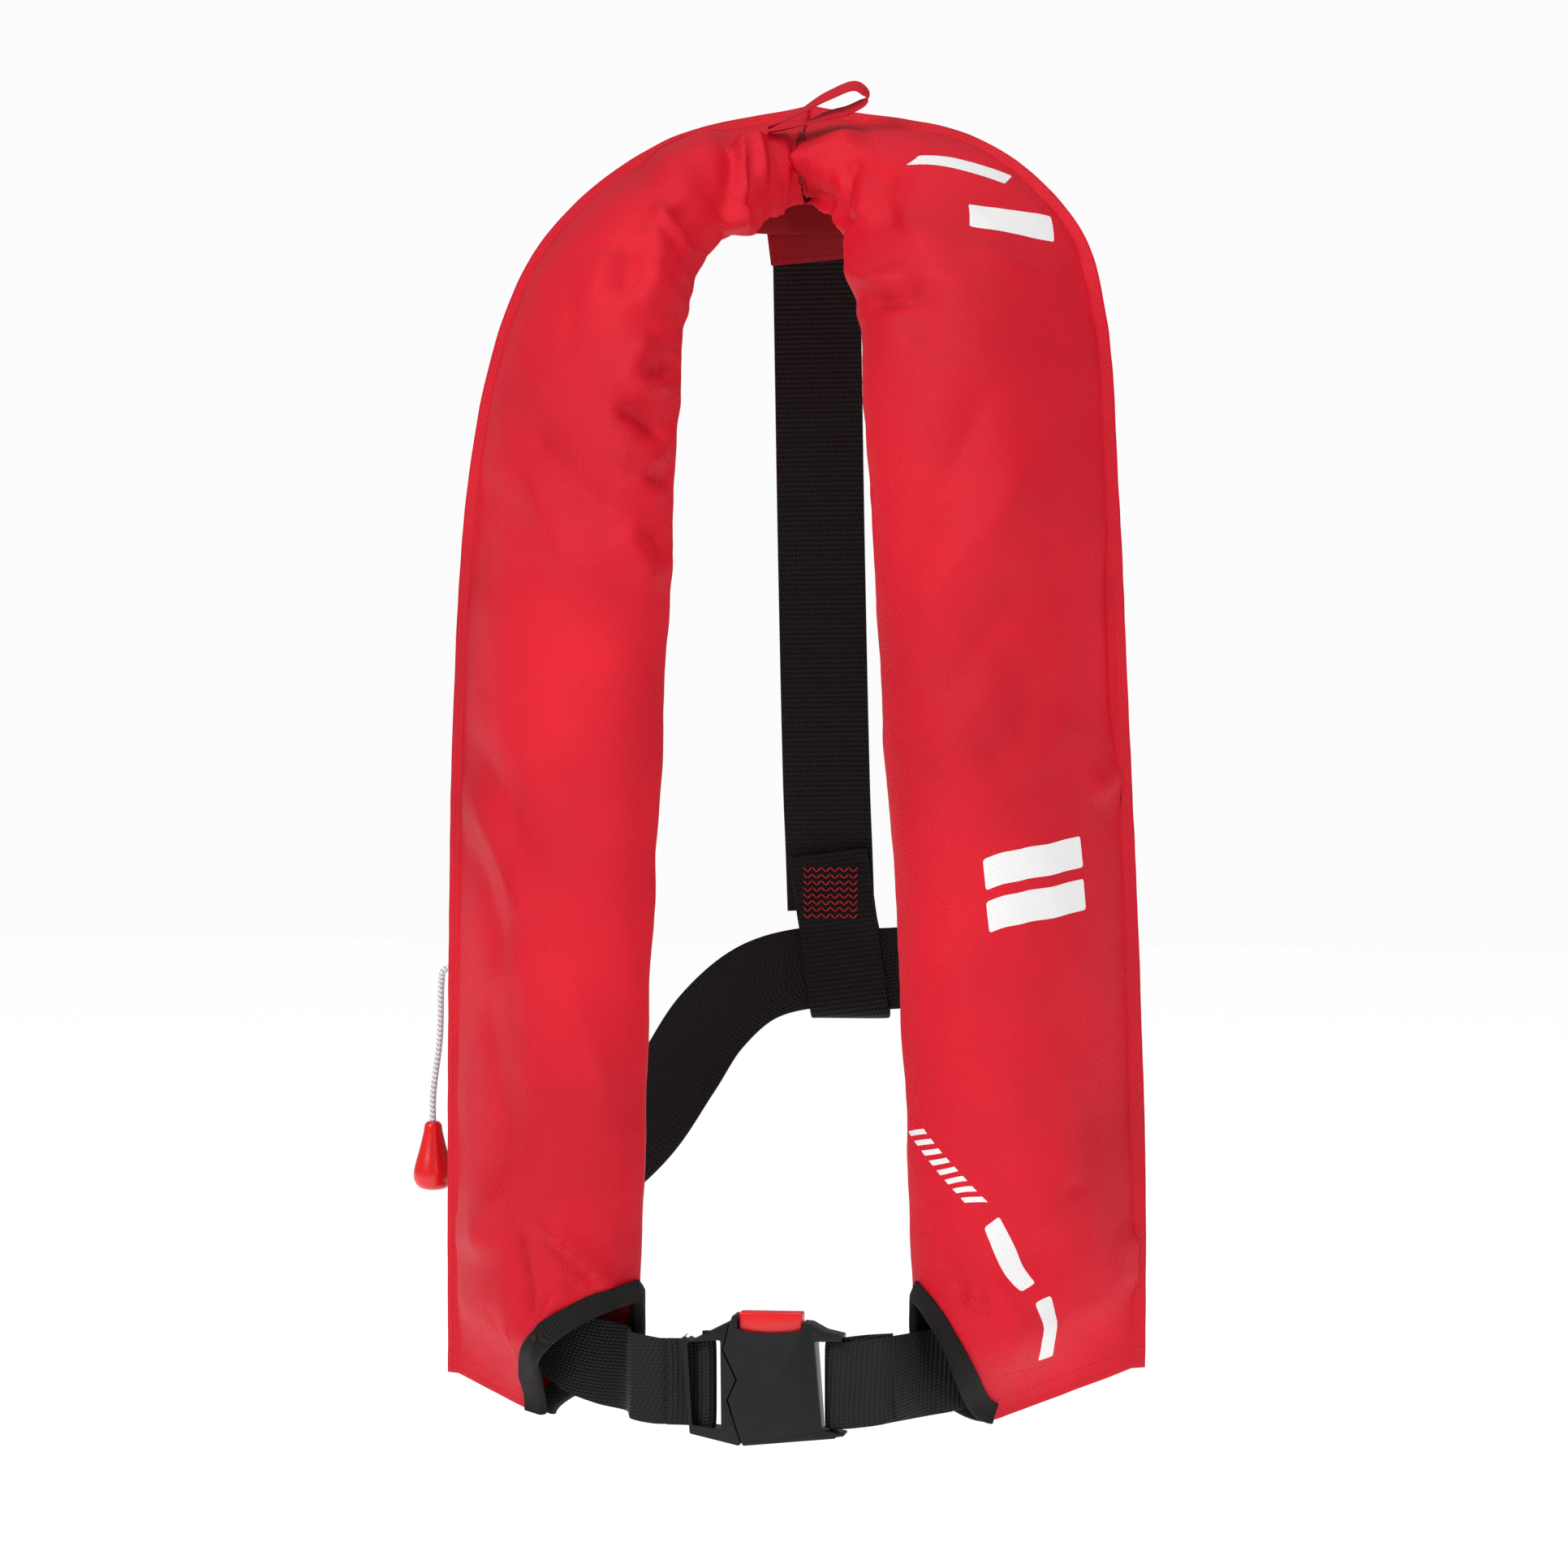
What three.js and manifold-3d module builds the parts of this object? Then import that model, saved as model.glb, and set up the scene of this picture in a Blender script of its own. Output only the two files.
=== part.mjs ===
// Inflatable life jacket, worn shape: a horseshoe cover with a folded bladder, gas inflator
// and oral tube inside, a back strap, and a waist belt with a press-button buckle.
// Millimetres. X points to the viewer's right when the jacket is seen from the front, Y points
// to the wearer's back and Z up. The origin is the nape, where the collar rests on the wearer.
// "left" and "right" are the viewer's, from the front.
import * as THREE from "three";
import { mergeVertices } from "three/addons/utils/BufferGeometryUtils.js";
import Module from "manifold-3d";

const wasm = await Module();
wasm.setup();

const V = (x, y, z) => new THREE.Vector3(x, y, z);

// ---------------------------------------------------------------- driving dimensions
const GAP = 0.3; // between pieces that touch
const COVER_WALL = 1.5; // cover fabric with its coating and liner
const FLANGE = 7; // sewn flange outside the cover's edge seam
const CLOSURE_TAPE = 1; // hook-and-loop tape between the two flanges
const COVER_REACH = 110; // height between two stations on the straight part of a lobe
const COVER_FOOT = -580; // height of the lowest station, just below the hems
const LOBE_FRONT = 38; // how far the front panel stands out of the lobe's chord plane
const LOBE_BACK = 16; // and the back panel behind it
const COLLAR_FRONT = 18;
const COLLAR_BACK = 12;
const BLADDER_THICK = 8; // folded bladder
const BLADDER_SEAT = 0.62; // how far back it lies, as a share of the back panel's depth
const BLADDER_FOOT = -500;

const BINDING_THICK = 1; // tape folded over the lips of the mouths
const BINDING_WIDTH = 9;
const BINDING_GAP = 1;

const BELT_WIDTH = 40;
const BELT_THICK = 2;
const STRAP_WIDTH = 43;
const STRAP_THICK = 2;
const STRAP_Y = 23; // middle plane of the back strap
const YOKE_THICK = 2;
const LOOP_TAPE = 10; // width of the hang loop's tape

const BUCKLE = V(0, -172, -550); // middle of the buckle
const BUCKLE_THICK = 15;
const BUCKLE_HEIGHT = 56;
const BUCKLE_WALL = 2.3;
const TONGUE_THICK = 3.6;
const TONGUE_HEIGHT = 28;
const SLIDE_GAP = 0.4; // between the tongue, the button and the housing
const BUTTON_TRAVEL = 3.5;
const CATCH_DEPTH = 3.2; // how far the button's tooth stands in the tongue's notch
const BAR_RADIUS = 2.2; // webbing bars of both halves

const CYLINDER_RADIUS = 15.5;
const CYLINDER_LENGTH = 118;
const NECK_RADIUS = 6;
const STEM_RADIUS = 6; // valve stem of the bladder
const BODY_RADIUS = 13; // inflator body
const LEVER_LENGTH = 24;
const LEVER_THICK = 7;
const PIN_RADIUS = 1.6;
const RUNNING_GAP = 0.35; // pins and plungers in their holes
const TUBE_RADIUS = 7.5; // oral inflation tube
const TUBE_BORE = 5.4;
const TUBE_LENGTH = 130;
const CORD_RADIUS = 1.5;

// ---------------------------------------------------------------- solids from rings and grids
const volumeOf = (positions, index) => {
  let volume = 0;
  const [a, b, c] = [V(), V(), V()];
  for (let i = 0; i < index.length; i += 3) {
    a.fromArray(positions, 3 * index[i]);
    b.fromArray(positions, 3 * index[i + 1]);
    c.fromArray(positions, 3 * index[i + 2]);
    volume += a.dot(b.cross(c)) / 6;
  }
  return volume;
};

// A closed geometry from points and triangles, turned so that its faces point out.
function closedGeometry(points, triangles) {
  const positions = points.flatMap((p) => [p.x, p.y, p.z]);
  const index = triangles.flat();
  if (volumeOf(positions, index) < 0) index.reverse();
  const geometry = new THREE.BufferGeometry();
  geometry.setAttribute("position", new THREE.Float32BufferAttribute(positions, 3));
  geometry.setIndex(index);
  return geometry;
}

// Rings of equal length joined one after the other; the ends are capped unless the loft closes on itself.
function loft(rings, closed = false) {
  const n = rings[0].length;
  const triangles = [];
  const last = closed ? rings.length : rings.length - 1;
  for (let r = 0; r < last; r++) {
    const [a, b] = [r * n, ((r + 1) % rings.length) * n];
    for (let i = 0; i < n; i++) {
      const j = (i + 1) % n;
      triangles.push([a + i, a + j, b + j], [a + i, b + j, b + i]);
    }
  }
  if (!closed) {
    const end = (rings.length - 1) * n;
    for (let i = 1; i < n - 1; i++) {
      triangles.push([0, i + 1, i], [end, end + i, end + i + 1]);
    }
  }
  return closedGeometry(rings.flat(), triangles);
}

// A sheet with thickness: two grids of points, rows of equal length, closed round all four edges.
function thickSheet(outer, inner) {
  const [rows, columns] = [outer.length, outer[0].length];
  const under = rows * columns;
  const at = (r, c) => r * columns + c;
  const triangles = [];
  const quad = (a, b, c, d) => triangles.push([a, b, c], [a, c, d]);
  for (let r = 0; r < rows - 1; r++) {
    for (let c = 0; c < columns - 1; c++) {
      quad(at(r, c), at(r, c + 1), at(r + 1, c + 1), at(r + 1, c));
      quad(under + at(r, c), under + at(r + 1, c), under + at(r + 1, c + 1), under + at(r, c + 1));
    }
  }
  for (let r = 0; r < rows - 1; r++) {
    for (const [a, b] of [[at(r + 1, 0), at(r, 0)], [at(r, columns - 1), at(r + 1, columns - 1)]]) {
      quad(b, a, under + a, under + b);
    }
  }
  for (let c = 0; c < columns - 1; c++) {
    for (const [a, b] of [[at(0, c), at(0, c + 1)], [at(rows - 1, c + 1), at(rows - 1, c)]]) {
      quad(b, a, under + a, under + b);
    }
  }
  return closedGeometry([...outer.flat(), ...inner.flat()], triangles);
}

// A web of constant width along a curve. Each knot holds a point and the direction of the width there.
function ribbon(knots, width, thickness, steps, closed = false) {
  const path = new THREE.CatmullRomCurve3(knots.map((k) => k[0]), closed);
  const across = new THREE.CatmullRomCurve3(knots.map((k) => k[1]), closed);
  const rings = [];
  for (let i = 0; i < steps + (closed ? 0 : 1); i++) {
    const t = i / steps;
    const tangent = path.getTangent(t);
    const side = across.getPoint(t);
    side.addScaledVector(tangent, -side.dot(tangent)).normalize();
    const face = V().crossVectors(tangent, side);
    rings.push(
      [[-1, -1], [1, -1], [1, 1], [-1, 1]].map(([s, f]) =>
        path
          .getPoint(t)
          .addScaledVector(side, (s * width) / 2)
          .addScaledVector(face, (f * thickness) / 2),
      ),
    );
  }
  return loft(rings, closed);
}

// ---------------------------------------------------------------- booleans
function toSolid(geometry) {
  const bare = geometry.index ? geometry.clone() : geometry.clone();
  bare.deleteAttribute("normal");
  bare.deleteAttribute("uv");
  const merged = mergeVertices(bare, 1e-4);
  return new wasm.Manifold(
    new wasm.Mesh({
      numProp: 3,
      vertProperties: merged.attributes.position.array,
      triVerts: new Uint32Array(merged.index.array),
    }),
  );
}

function toGeometry(solid) {
  const mesh = solid.getMesh();
  const geometry = new THREE.BufferGeometry();
  const positions = new Float32Array(mesh.numVert * 3);
  for (let i = 0; i < mesh.numVert; i++) {
    const start = i * mesh.numProp;
    positions.set(mesh.vertProperties.subarray(start, start + 3), i * 3);
  }
  geometry.setAttribute("position", new THREE.BufferAttribute(positions, 3));
  geometry.setIndex(new THREE.BufferAttribute(mesh.triVerts, 1));
  return geometry;
}

const cut = (body, ...tools) =>
  toGeometry(tools.reduce((solid, tool) => solid.subtract(toSolid(tool)), toSolid(body)));
const join = (body, ...more) =>
  toGeometry(more.reduce((solid, piece) => solid.add(toSolid(piece)), toSolid(body)));

// ---------------------------------------------------------------- simple bodies, placed
const box = (x0, x1, y0, y1, z0, z1) =>
  new THREE.BoxGeometry(x1 - x0, y1 - y0, z1 - z0).translate(
    (x0 + x1) / 2,
    (y0 + y1) / 2,
    (z0 + z1) / 2,
  );
// Cylinders along Y and Z, from one end to the other.
const rodY = (radius, y0, y1, x, z, sides = 20) =>
  new THREE.CylinderGeometry(radius, radius, y1 - y0, sides).translate(x, (y0 + y1) / 2, z);
const rodZ = (radius, z0, z1, x, y, sides = 20) =>
  new THREE.CylinderGeometry(radius, radius, z1 - z0, sides)
    .rotateX(Math.PI / 2)
    .translate(x, y, (z0 + z1) / 2);
// A body turned about Z from a profile of [radius, height] points.
const turned = (profile, sides = 20) =>
  new THREE.LatheGeometry(profile.map(([r, z]) => new THREE.Vector2(r, z)), sides).rotateX(
    Math.PI / 2,
  );
// An outline in X and Z, as thick as from y0 to y1, with an optional bevel on both faces.
function plate(outline, y0, y1, bevel = 0) {
  const shape = new THREE.Shape(outline.map(([x, z]) => new THREE.Vector2(x, z)));
  return new THREE.ExtrudeGeometry(shape, {
    depth: y1 - y0 - 2 * bevel,
    steps: 1,
    curveSegments: 4,
    bevelEnabled: bevel > 0,
    bevelThickness: bevel,
    bevelSize: bevel,
    bevelOffset: -bevel,
    bevelSegments: 1,
  })
    .rotateX(Math.PI / 2)
    .translate(0, y1 - bevel, 0);
}

const jacket = new THREE.Group();
function add(parent, name, geometry, material) {
  const mesh = new THREE.Mesh(geometry, material);
  mesh.name = name;
  parent.add(mesh);
  return mesh;
}

// ---------------------------------------------------------------- materials
const finish = (color, roughness, metalness = 0) =>
  new THREE.MeshStandardMaterial({ color, roughness, metalness });
const RED_FABRIC = finish(0xc4142c, 0.55);
const RED_LINER = finish(0x8e0f1d, 0.7);
const BLACK_WEBBING = finish(0x17171a, 0.8);
const BLACK_BINDING = finish(0x1b1a18, 0.85);
const BLACK_PLASTIC = finish(0x1a1b1d, 0.42);
const RED_PLASTIC = finish(0xe3242b, 0.35);
const WHITE_CORD = finish(0xe9ecef, 0.7);
const BLADDER_YELLOW = finish(0xe8c51c, 0.6);
const STEEL = finish(0x9aa0a6, 0.35, 0.9);
const SPRING_STEEL = finish(0xb9bcc0, 0.3, 1);
const CLEAR_PLASTIC = finish(0xdfe3e6, 0.3);
const WHISTLE_ORANGE = finish(0xf06a1d, 0.4);

// ---------------------------------------------------------------- the horseshoe
// Each lobe is a flattened tube with a sewn flange outside it. Its inner edge is a soft roll beside
// the neck and chest, and its outer edge is the flange's edge. Both are curves through stations of
// equal number: five up the straight lobe, COVER_REACH apart, and four over the shoulder to the nape.
const SEAM = { inner: V(-2, -10, 2), outer: V(-4, 26, 50) };
const height = (k) => COVER_FOOT + k * COVER_REACH;
const LOBES = {
  left: {
    sign: -1,
    inner: [
      V(-62, -146, height(0)), V(-60, -150, height(1)), V(-55, -153, height(2)),
      V(-50, -151, height(3)), V(-46, -141, height(4)),
      V(-46, -116, -68), V(-41, -72, -26), V(-24, -31, -6), SEAM.inner,
    ],
    outer: [
      V(-161, -93, height(0)), V(-160, -98, height(1)), V(-159, -100, height(2)),
      V(-157, -99, height(3)), V(-152, -90, height(4)),
      V(-140, -66, -60), V(-117, -36, -8), V(-70, 4, 33), SEAM.outer,
    ],
    tip: 0.5, // where across the lobe the hem ends and the belt's mouth begins
    cornerHeight: -557, // hem at the outer corner
    tipHeight: -573, // hem at the tip
    mouthHeight: -514, // top of the mouth's front lip
  },
  right: {
    sign: 1,
    inner: [
      V(70, -146, height(0)), V(66, -150, height(1)), V(62, -153, height(2)),
      V(55, -151, height(3)), V(47, -141, height(4)),
      V(40, -116, -70), V(30, -74, -29), V(15, -32, -7), SEAM.inner,
    ],
    outer: [
      V(170, -93, height(0)), V(171, -98, height(1)), V(168, -100, height(2)),
      V(163, -99, height(3)), V(157, -89, height(4)),
      V(149, -64, -58), V(130, -35, -8), V(78, 5, 33), SEAM.outer,
    ],
    tip: 0.34,
    cornerHeight: -549,
    tipHeight: -570,
    mouthHeight: -512,
  },
};
const BACK_LIP = 26; // height of the mouth's back lip above the tip
const STATIONS = LOBES.left.inner.length - 1;

const FRONT_POWERS = [0.5, 0.75]; // shape of the front panel towards the roll and the flange
const BACK_POWERS = [0.5, 0.6];
const smooth = (x) => THREE.MathUtils.smoothstep(x, 0, 1);
const mix = THREE.MathUtils.lerp;
// A hump over 0 to 1 whose top is 1, with its own power at each end.
const hump = (c, [p, q]) => {
  const top = p / (p + q);
  return (c ** p * (1 - c) ** q) / (top ** p * (1 - top) ** q);
};

for (const lobe of Object.values(LOBES)) {
  lobe.innerCurve = new THREE.CatmullRomCurve3(lobe.inner, false, "catmullrom", 0.5);
  lobe.outerCurve = new THREE.CatmullRomCurve3(lobe.outer, false, "catmullrom", 0.5);
}

// The lobe's own axes at t, from 0 at the foot to 1 at the nape seam.
function axesAt(lobe, t) {
  const inner = lobe.innerCurve.getPoint(t);
  const outer = lobe.outerCurve.getPoint(t);
  const chord = outer.clone().sub(inner);
  const width = chord.length() - FLANGE;
  chord.normalize();
  const along = lobe.innerCurve.getTangent(t).add(lobe.outerCurve.getTangent(t));
  along.addScaledVector(chord, -along.dot(chord)).normalize();
  if (t > 1 - 1e-6) along.set(-lobe.sign, 0, 0).addScaledVector(chord, lobe.sign * chord.x).normalize();
  const front = V().crossVectors(along, chord).multiplyScalar(-lobe.sign);
  return { inner, chord, width, along, front };
}
// The point at a share c of the way across from the inner edge, n in front of the chord plane.
function lobePoint(lobe, t, c, n) {
  const { inner, chord, width, front } = axesAt(lobe, t);
  return inner.clone().addScaledVector(chord, c * width).addScaledVector(front, n);
}
const timeAt = (z) => (z - COVER_FOOT) / COVER_REACH / STATIONS;

// The lower edge of a panel: the hem, then the mouth's lip, a quarter ellipse up to the inner edge.
function footHeight(lobe, c, lip) {
  const share = THREE.MathUtils.clamp(c, 0, 1);
  if (share >= lobe.tip) {
    return mix(lobe.tipHeight, lobe.cornerHeight, (share - lobe.tip) / (1 - lobe.tip));
  }
  return lobe.tipHeight + lip * Math.sqrt(1 - (share / lobe.tip) ** 2);
}
const PUFF_REACH = 45; // height over which the lobe fills out above its hem
const HEM_PUFF = 0.12;
const MOUTH_PUFF = 0.5;
function puff(lobe, t, c) {
  const share = THREE.MathUtils.clamp(c, 0, 1);
  const above = (t - timeAt(footHeight(lobe, share, 0))) * STATIONS * COVER_REACH;
  const start = mix(HEM_PUFF, MOUTH_PUFF, smooth((lobe.tip - share) / lobe.tip));
  return mix(start, 1, smooth(above / PUFF_REACH));
}
// The section of the tube at t. The angle runs from 0 at the flange over the front to PI at the
// roll, and on to 2 PI at the flange over the back. Depth 0 is the outer face of the fabric.
const LAYER = CLOSURE_TAPE / 2 + GAP + COVER_WALL;
function fullness(t) {
  const collar = smooth((t * STATIONS - 4) / 3.5);
  return [mix(LOBE_FRONT, COLLAR_FRONT, collar), mix(LOBE_BACK, COLLAR_BACK, collar)];
}
function profile(lobe, t, angle) {
  const c = 0.5 + 0.5 * Math.cos(angle);
  const [front, back] = fullness(t);
  const full = puff(lobe, t, c);
  const n =
    angle <= Math.PI
      ? front * full * hump(c, FRONT_POWERS) + LAYER * c * c
      : -back * full * hump(c, BACK_POWERS) - LAYER * c * c;
  return [c, n];
}
function tubePoint(lobe, t, angle, depth) {
  const width = axesAt(lobe, t).width;
  const step = 0.02;
  const a = THREE.MathUtils.clamp(angle, step, 2 * Math.PI - step);
  const [c0, n0] = profile(lobe, t, a - step);
  const [c1, n1] = profile(lobe, t, a + step);
  const [dc, dn] = [(c1 - c0) * width, n1 - n0];
  const size = Math.hypot(dc, dn);
  const [c, n] = profile(lobe, t, angle);
  return lobePoint(lobe, t, c - (depth * dn) / size / width, n + (depth * dc) / size);
}

const ROLL_WRAP = 0.4; // how far the front panel wraps round the roll, in radians
const ROLL_JOINT = 0.05; // seam gap between front and back panel there
// Rows of a panel as shares of its height: close together above the hem, where it fills out, then wide
// up the straight lobe and close again over the shoulder.
const spread = (from, to, count) =>
  Array.from({ length: count }, (_, i) => mix(from, to, (i + 1) / count));
const ROW_SHARES = [
  0, 0.008, 0.017, 0.028, 0.042, 0.06, 0.085, 0.12, ...spread(0.12, 0.48, 5), ...spread(0.48, 1, 14)];
const rowTimes = (start) => ROW_SHARES.map((share) => mix(start, 1, share));

// Rows of a panel, each from its foot up to the nape. Columns are angles, and "flange" is the outer edge.
function panelGrid(lobe, columns, isFront, depth) {
  const lip = isFront ? lobe.mouthHeight - lobe.tipHeight : BACK_LIP;
  const side = isFront ? 1 : -1;
  const byColumn = columns.map((angle) => {
    const c = angle === "flange" ? 1 : 0.5 + 0.5 * Math.cos(angle);
    const flat = side * (LAYER - depth);
    return rowTimes(timeAt(footHeight(lobe, c, lip))).map((t) => {
      const out = angle === "flange" ? FLANGE / axesAt(lobe, t).width : 0;
      const point = c > 0.9999 ? lobePoint(lobe, t, 1 + out, flat) : tubePoint(lobe, t, angle, depth);
      if (t === 1) point.x += (lobe.sign * GAP) / 2;
      return point;
    });
  });
  return ROW_SHARES.map((_, r) => byColumn.map((column) => column[r]));
}
// Shares across a panel, from the inner edge to the flange: round the roll, in even steps round the
// mouth's arc up to the hem's tip, then at even angles.
const ARC_STEPS = 9;
function columnShares(lobe) {
  const tip = Math.acos(2 * lobe.tip - 1);
  const arc = Array.from({ length: ARC_STEPS }, (_, i) =>
    lobe.tip * Math.sin((i / ARC_STEPS) * (Math.PI / 2)));
  const rest = Array.from({ length: 6 }, (_, i) => 0.5 + 0.5 * Math.cos(mix(tip, 0, i / 5)));
  return [arc[0], 0.01, 0.04, ...arc.slice(1), ...rest];
}
const frontAngle = (c) => Math.acos(THREE.MathUtils.clamp(2 * c - 1, -1, 1));
const backAngle = (c) => 2 * Math.PI - frontAngle(c);
function frontColumns(lobe) {
  const wrap = [1, 0.66, 0.33].map((s) => Math.PI + s * ROLL_WRAP);
  return [...wrap, ...columnShares(lobe).map(frontAngle), "flange"];
}
function backColumns(lobe) {
  const first = Math.PI + ROLL_WRAP + ROLL_JOINT;
  const rest = columnShares(lobe).map(backAngle).filter((a) => a > first + 0.08);
  return [first, ...rest, "flange"];
}

const panels = {};
for (const [name, lobe] of Object.entries(LOBES)) {
  const [front, back] = [frontColumns(lobe), backColumns(lobe)];
  panels[name] = {
    front: thickSheet(panelGrid(lobe, front, true, 0), panelGrid(lobe, front, true, COVER_WALL)),
    back: thickSheet(panelGrid(lobe, back, false, 0), panelGrid(lobe, back, false, COVER_WALL)),
  };
}

// Hook-and-loop tape between the two flanges, on the same rows as they have.
function closureTape(lobe, from, to) {
  const at = (t, out, side) =>
    lobePoint(lobe, t, 1 + out / axesAt(lobe, t).width, (side * CLOSURE_TAPE) / 2);
  const between = rowTimes(timeAt(lobe.cornerHeight)).filter((t) => t > from + 0.01 && t < to - 0.01);
  return loft([from, ...between, to].map((t) => {
    const ring = [at(t, 0.5, -1), at(t, FLANGE, -1), at(t, FLANGE, 1), at(t, 0.5, 1)];
    if (t === 1) ring.forEach((p) => (p.x += (lobe.sign * GAP) / 2));
    return ring;
  }));
}

// Tape folded over a lip: a channel that follows the mouth's arc, in the surface of the panel.
function lipBinding(lobe, isFront) {
  const lip = isFront ? lobe.mouthHeight - lobe.tipHeight : BACK_LIP;
  const toAngle = isFront ? frontAngle : backAngle;
  const point = (phi, rise, depth) => {
    const width = axesAt(lobe, timeAt(lobe.tipHeight)).width;
    const [a, b] = [lobe.tip * width, lip];
    const normal = new THREE.Vector2(Math.cos(phi) / a, Math.sin(phi) / b).normalize();
    const c = (a * Math.cos(phi) + normal.x * rise) / width;
    const z = lobe.tipHeight + b * Math.sin(phi) + normal.y * rise;
    return tubePoint(lobe, timeAt(z), toAngle(c), depth);
  };
  const channel = (phi, d) => [
    point(phi, BINDING_WIDTH, -d), point(phi, -d, -d),
    point(phi, -d, COVER_WALL + d), point(phi, BINDING_WIDTH, COVER_WALL + d),
  ];
  const [outer, inner] = [[], []];
  const end = isFront ? 1.5 : 1.1;
  for (let i = 0; i <= 14; i++) {
    const phi = mix(0.16, end, i / 14);
    outer.push(channel(phi, BINDING_GAP + BINDING_THICK));
    inner.push(channel(phi, BINDING_GAP));
  }
  return thickSheet(outer, inner);
}

// ---------------------------------------------------------------- the bladder
const bladderBack = (t) => -BLADDER_SEAT * fullness(t)[1];
function bladderRing(lobe, t) {
  const back = bladderBack(t);
  const middle = back + BLADDER_THICK / 2;
  return [
    [0.16, middle - 1.5], [0.24, back], [0.5, back], [0.76, back], [0.84, middle - 1.5],
    [0.84, middle + 1.5], [0.76, back + BLADDER_THICK], [0.24, back + BLADDER_THICK],
    [0.16, middle + 1.5],
  ].map(([c, n]) => lobePoint(lobe, t, c, n));
}
function bladder() {
  const rings = [];
  const foot = timeAt(BLADDER_FOOT);
  for (let i = 0; i <= 20; i++) rings.push(bladderRing(LOBES.left, mix(foot, 1, i / 20)));
  for (let i = 19; i >= 0; i--) rings.push(bladderRing(LOBES.right, mix(foot, 1, i / 20)));
  return loft(rings);
}

// An upright frame on the bladder's front face: y points to the front of the lobe and z up.
// x points to the flange in the left lobe and to the roll in the right one.
function seatOn(lobe, z, c) {
  const t = timeAt(z);
  const { chord } = axesAt(lobe, t);
  const origin = lobePoint(lobe, t, c, bladderBack(t) + BLADDER_THICK);
  const x = V(chord.x, chord.y, 0).normalize().multiplyScalar(-lobe.sign);
  const y = V().crossVectors(V(0, 0, 1), x);
  return new THREE.Matrix4().makeBasis(x, y, V(0, 0, 1)).setPosition(origin);
}
const placed = (geometry, frame) => geometry.clone().applyMatrix4(frame);

// ---------------------------------------------------------------- inflator, in the left lobe
const INFLATOR = seatOn(LOBES.left, -384, 0.4);
const CYLINDER_Y = GAP + 2.4 + CYLINDER_RADIUS; // the gas cylinder stands off the bladder
const BODY_TOP = 22;
const BODY_FOOT = -24;
const NECK_DEPTH = 12; // of the cylinder's neck in the body
const LEVER = V(BODY_RADIUS + 5.5, CYLINDER_Y - 4, -8); // middle of the lever's pin
const LEVER_HALF = LEVER_THICK / 2;
const CHEEK = 2.6;
const STEM_LENGTH = 31;

function inflatorBody() {
  const boss = rodZ(BODY_RADIUS, BODY_FOOT, BODY_TOP, 0, CYLINDER_Y, 24);
  const inside = LEVER_HALF + RUNNING_GAP;
  const cheek = (y0, y1) =>
    box(2, LEVER.x + 4.5, LEVER.y + y0, LEVER.y + y1, LEVER.z - 4.5, LEVER.z + 4.5);
  return cut(
    join(boss, cheek(-inside - CHEEK, -inside), cheek(inside, inside + CHEEK)),
    rodY(STEM_RADIUS + RUNNING_GAP, -2, 40, 0, 0),
    rodZ(NECK_RADIUS + RUNNING_GAP, BODY_TOP - NECK_DEPTH - GAP, BODY_TOP + 5, 0, CYLINDER_Y),
    rodY(PIN_RADIUS + RUNNING_GAP, LEVER.y - 20, LEVER.y + 20, LEVER.x, LEVER.z, 14),
  );
}
function inflatorLever() {
  const arm = box(
    LEVER.x - 2.8, LEVER.x + 2.8, LEVER.y - LEVER_HALF, LEVER.y + LEVER_HALF,
    LEVER.z, LEVER.z + LEVER_LENGTH + 4);
  const eye = rodY(3.9, LEVER.y - LEVER_HALF, LEVER.y + LEVER_HALF, LEVER.x, LEVER.z, 16);
  const tip = LEVER.z + LEVER_LENGTH;
  const socket = new THREE.CylinderGeometry(CORD_RADIUS + GAP, CORD_RADIUS + GAP, 8, 12)
    .rotateZ(Math.PI / 2)
    .translate(LEVER.x + 3.2, LEVER.y, tip);
  const pinHole = rodY(
    PIN_RADIUS + RUNNING_GAP, LEVER.y - 20, LEVER.y + 20, LEVER.x, LEVER.z, 14);
  return cut(join(arm, eye), pinHole, socket);
}
const leverPin = () =>
  rodY(
    PIN_RADIUS, LEVER.y - LEVER_HALF - RUNNING_GAP - CHEEK, LEVER.y + LEVER_HALF + RUNNING_GAP + CHEEK,
    LEVER.x, LEVER.z, 14);
const bladderStem = () =>
  join(rodY(16, GAP, GAP + 1.8, 0, 0, 24), rodY(STEM_RADIUS, GAP + 1, STEM_LENGTH, 0, 0));
// The nut clamps the body, whose face is round, so it is relieved to the same radius.
const stemNut = () =>
  cut(
    rodY(9.5, CYLINDER_Y + BODY_RADIUS - 3, CYLINDER_Y + BODY_RADIUS + 4.5, 0, 0, 6),
    rodY(STEM_RADIUS + RUNNING_GAP, CYLINDER_Y, STEM_LENGTH + GAP, 0, 0),
    rodZ(BODY_RADIUS + GAP, -20, 20, 0, CYLINDER_Y, 24),
  );
const gasCylinder = () => {
  const base = BODY_TOP + 2;
  const top = base + CYLINDER_LENGTH;
  return turned([
    [0, BODY_TOP - NECK_DEPTH], [NECK_RADIUS, BODY_TOP - NECK_DEPTH], [NECK_RADIUS, base],
    [NECK_RADIUS + 3, base + 3], [CYLINDER_RADIUS - 1.5, base + 9], [CYLINDER_RADIUS, base + 13],
    [CYLINDER_RADIUS, top - 7], [CYLINDER_RADIUS - 4, top - 1.5], [0, top],
  ], 24).translate(0, CYLINDER_Y, 0);
};
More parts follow.
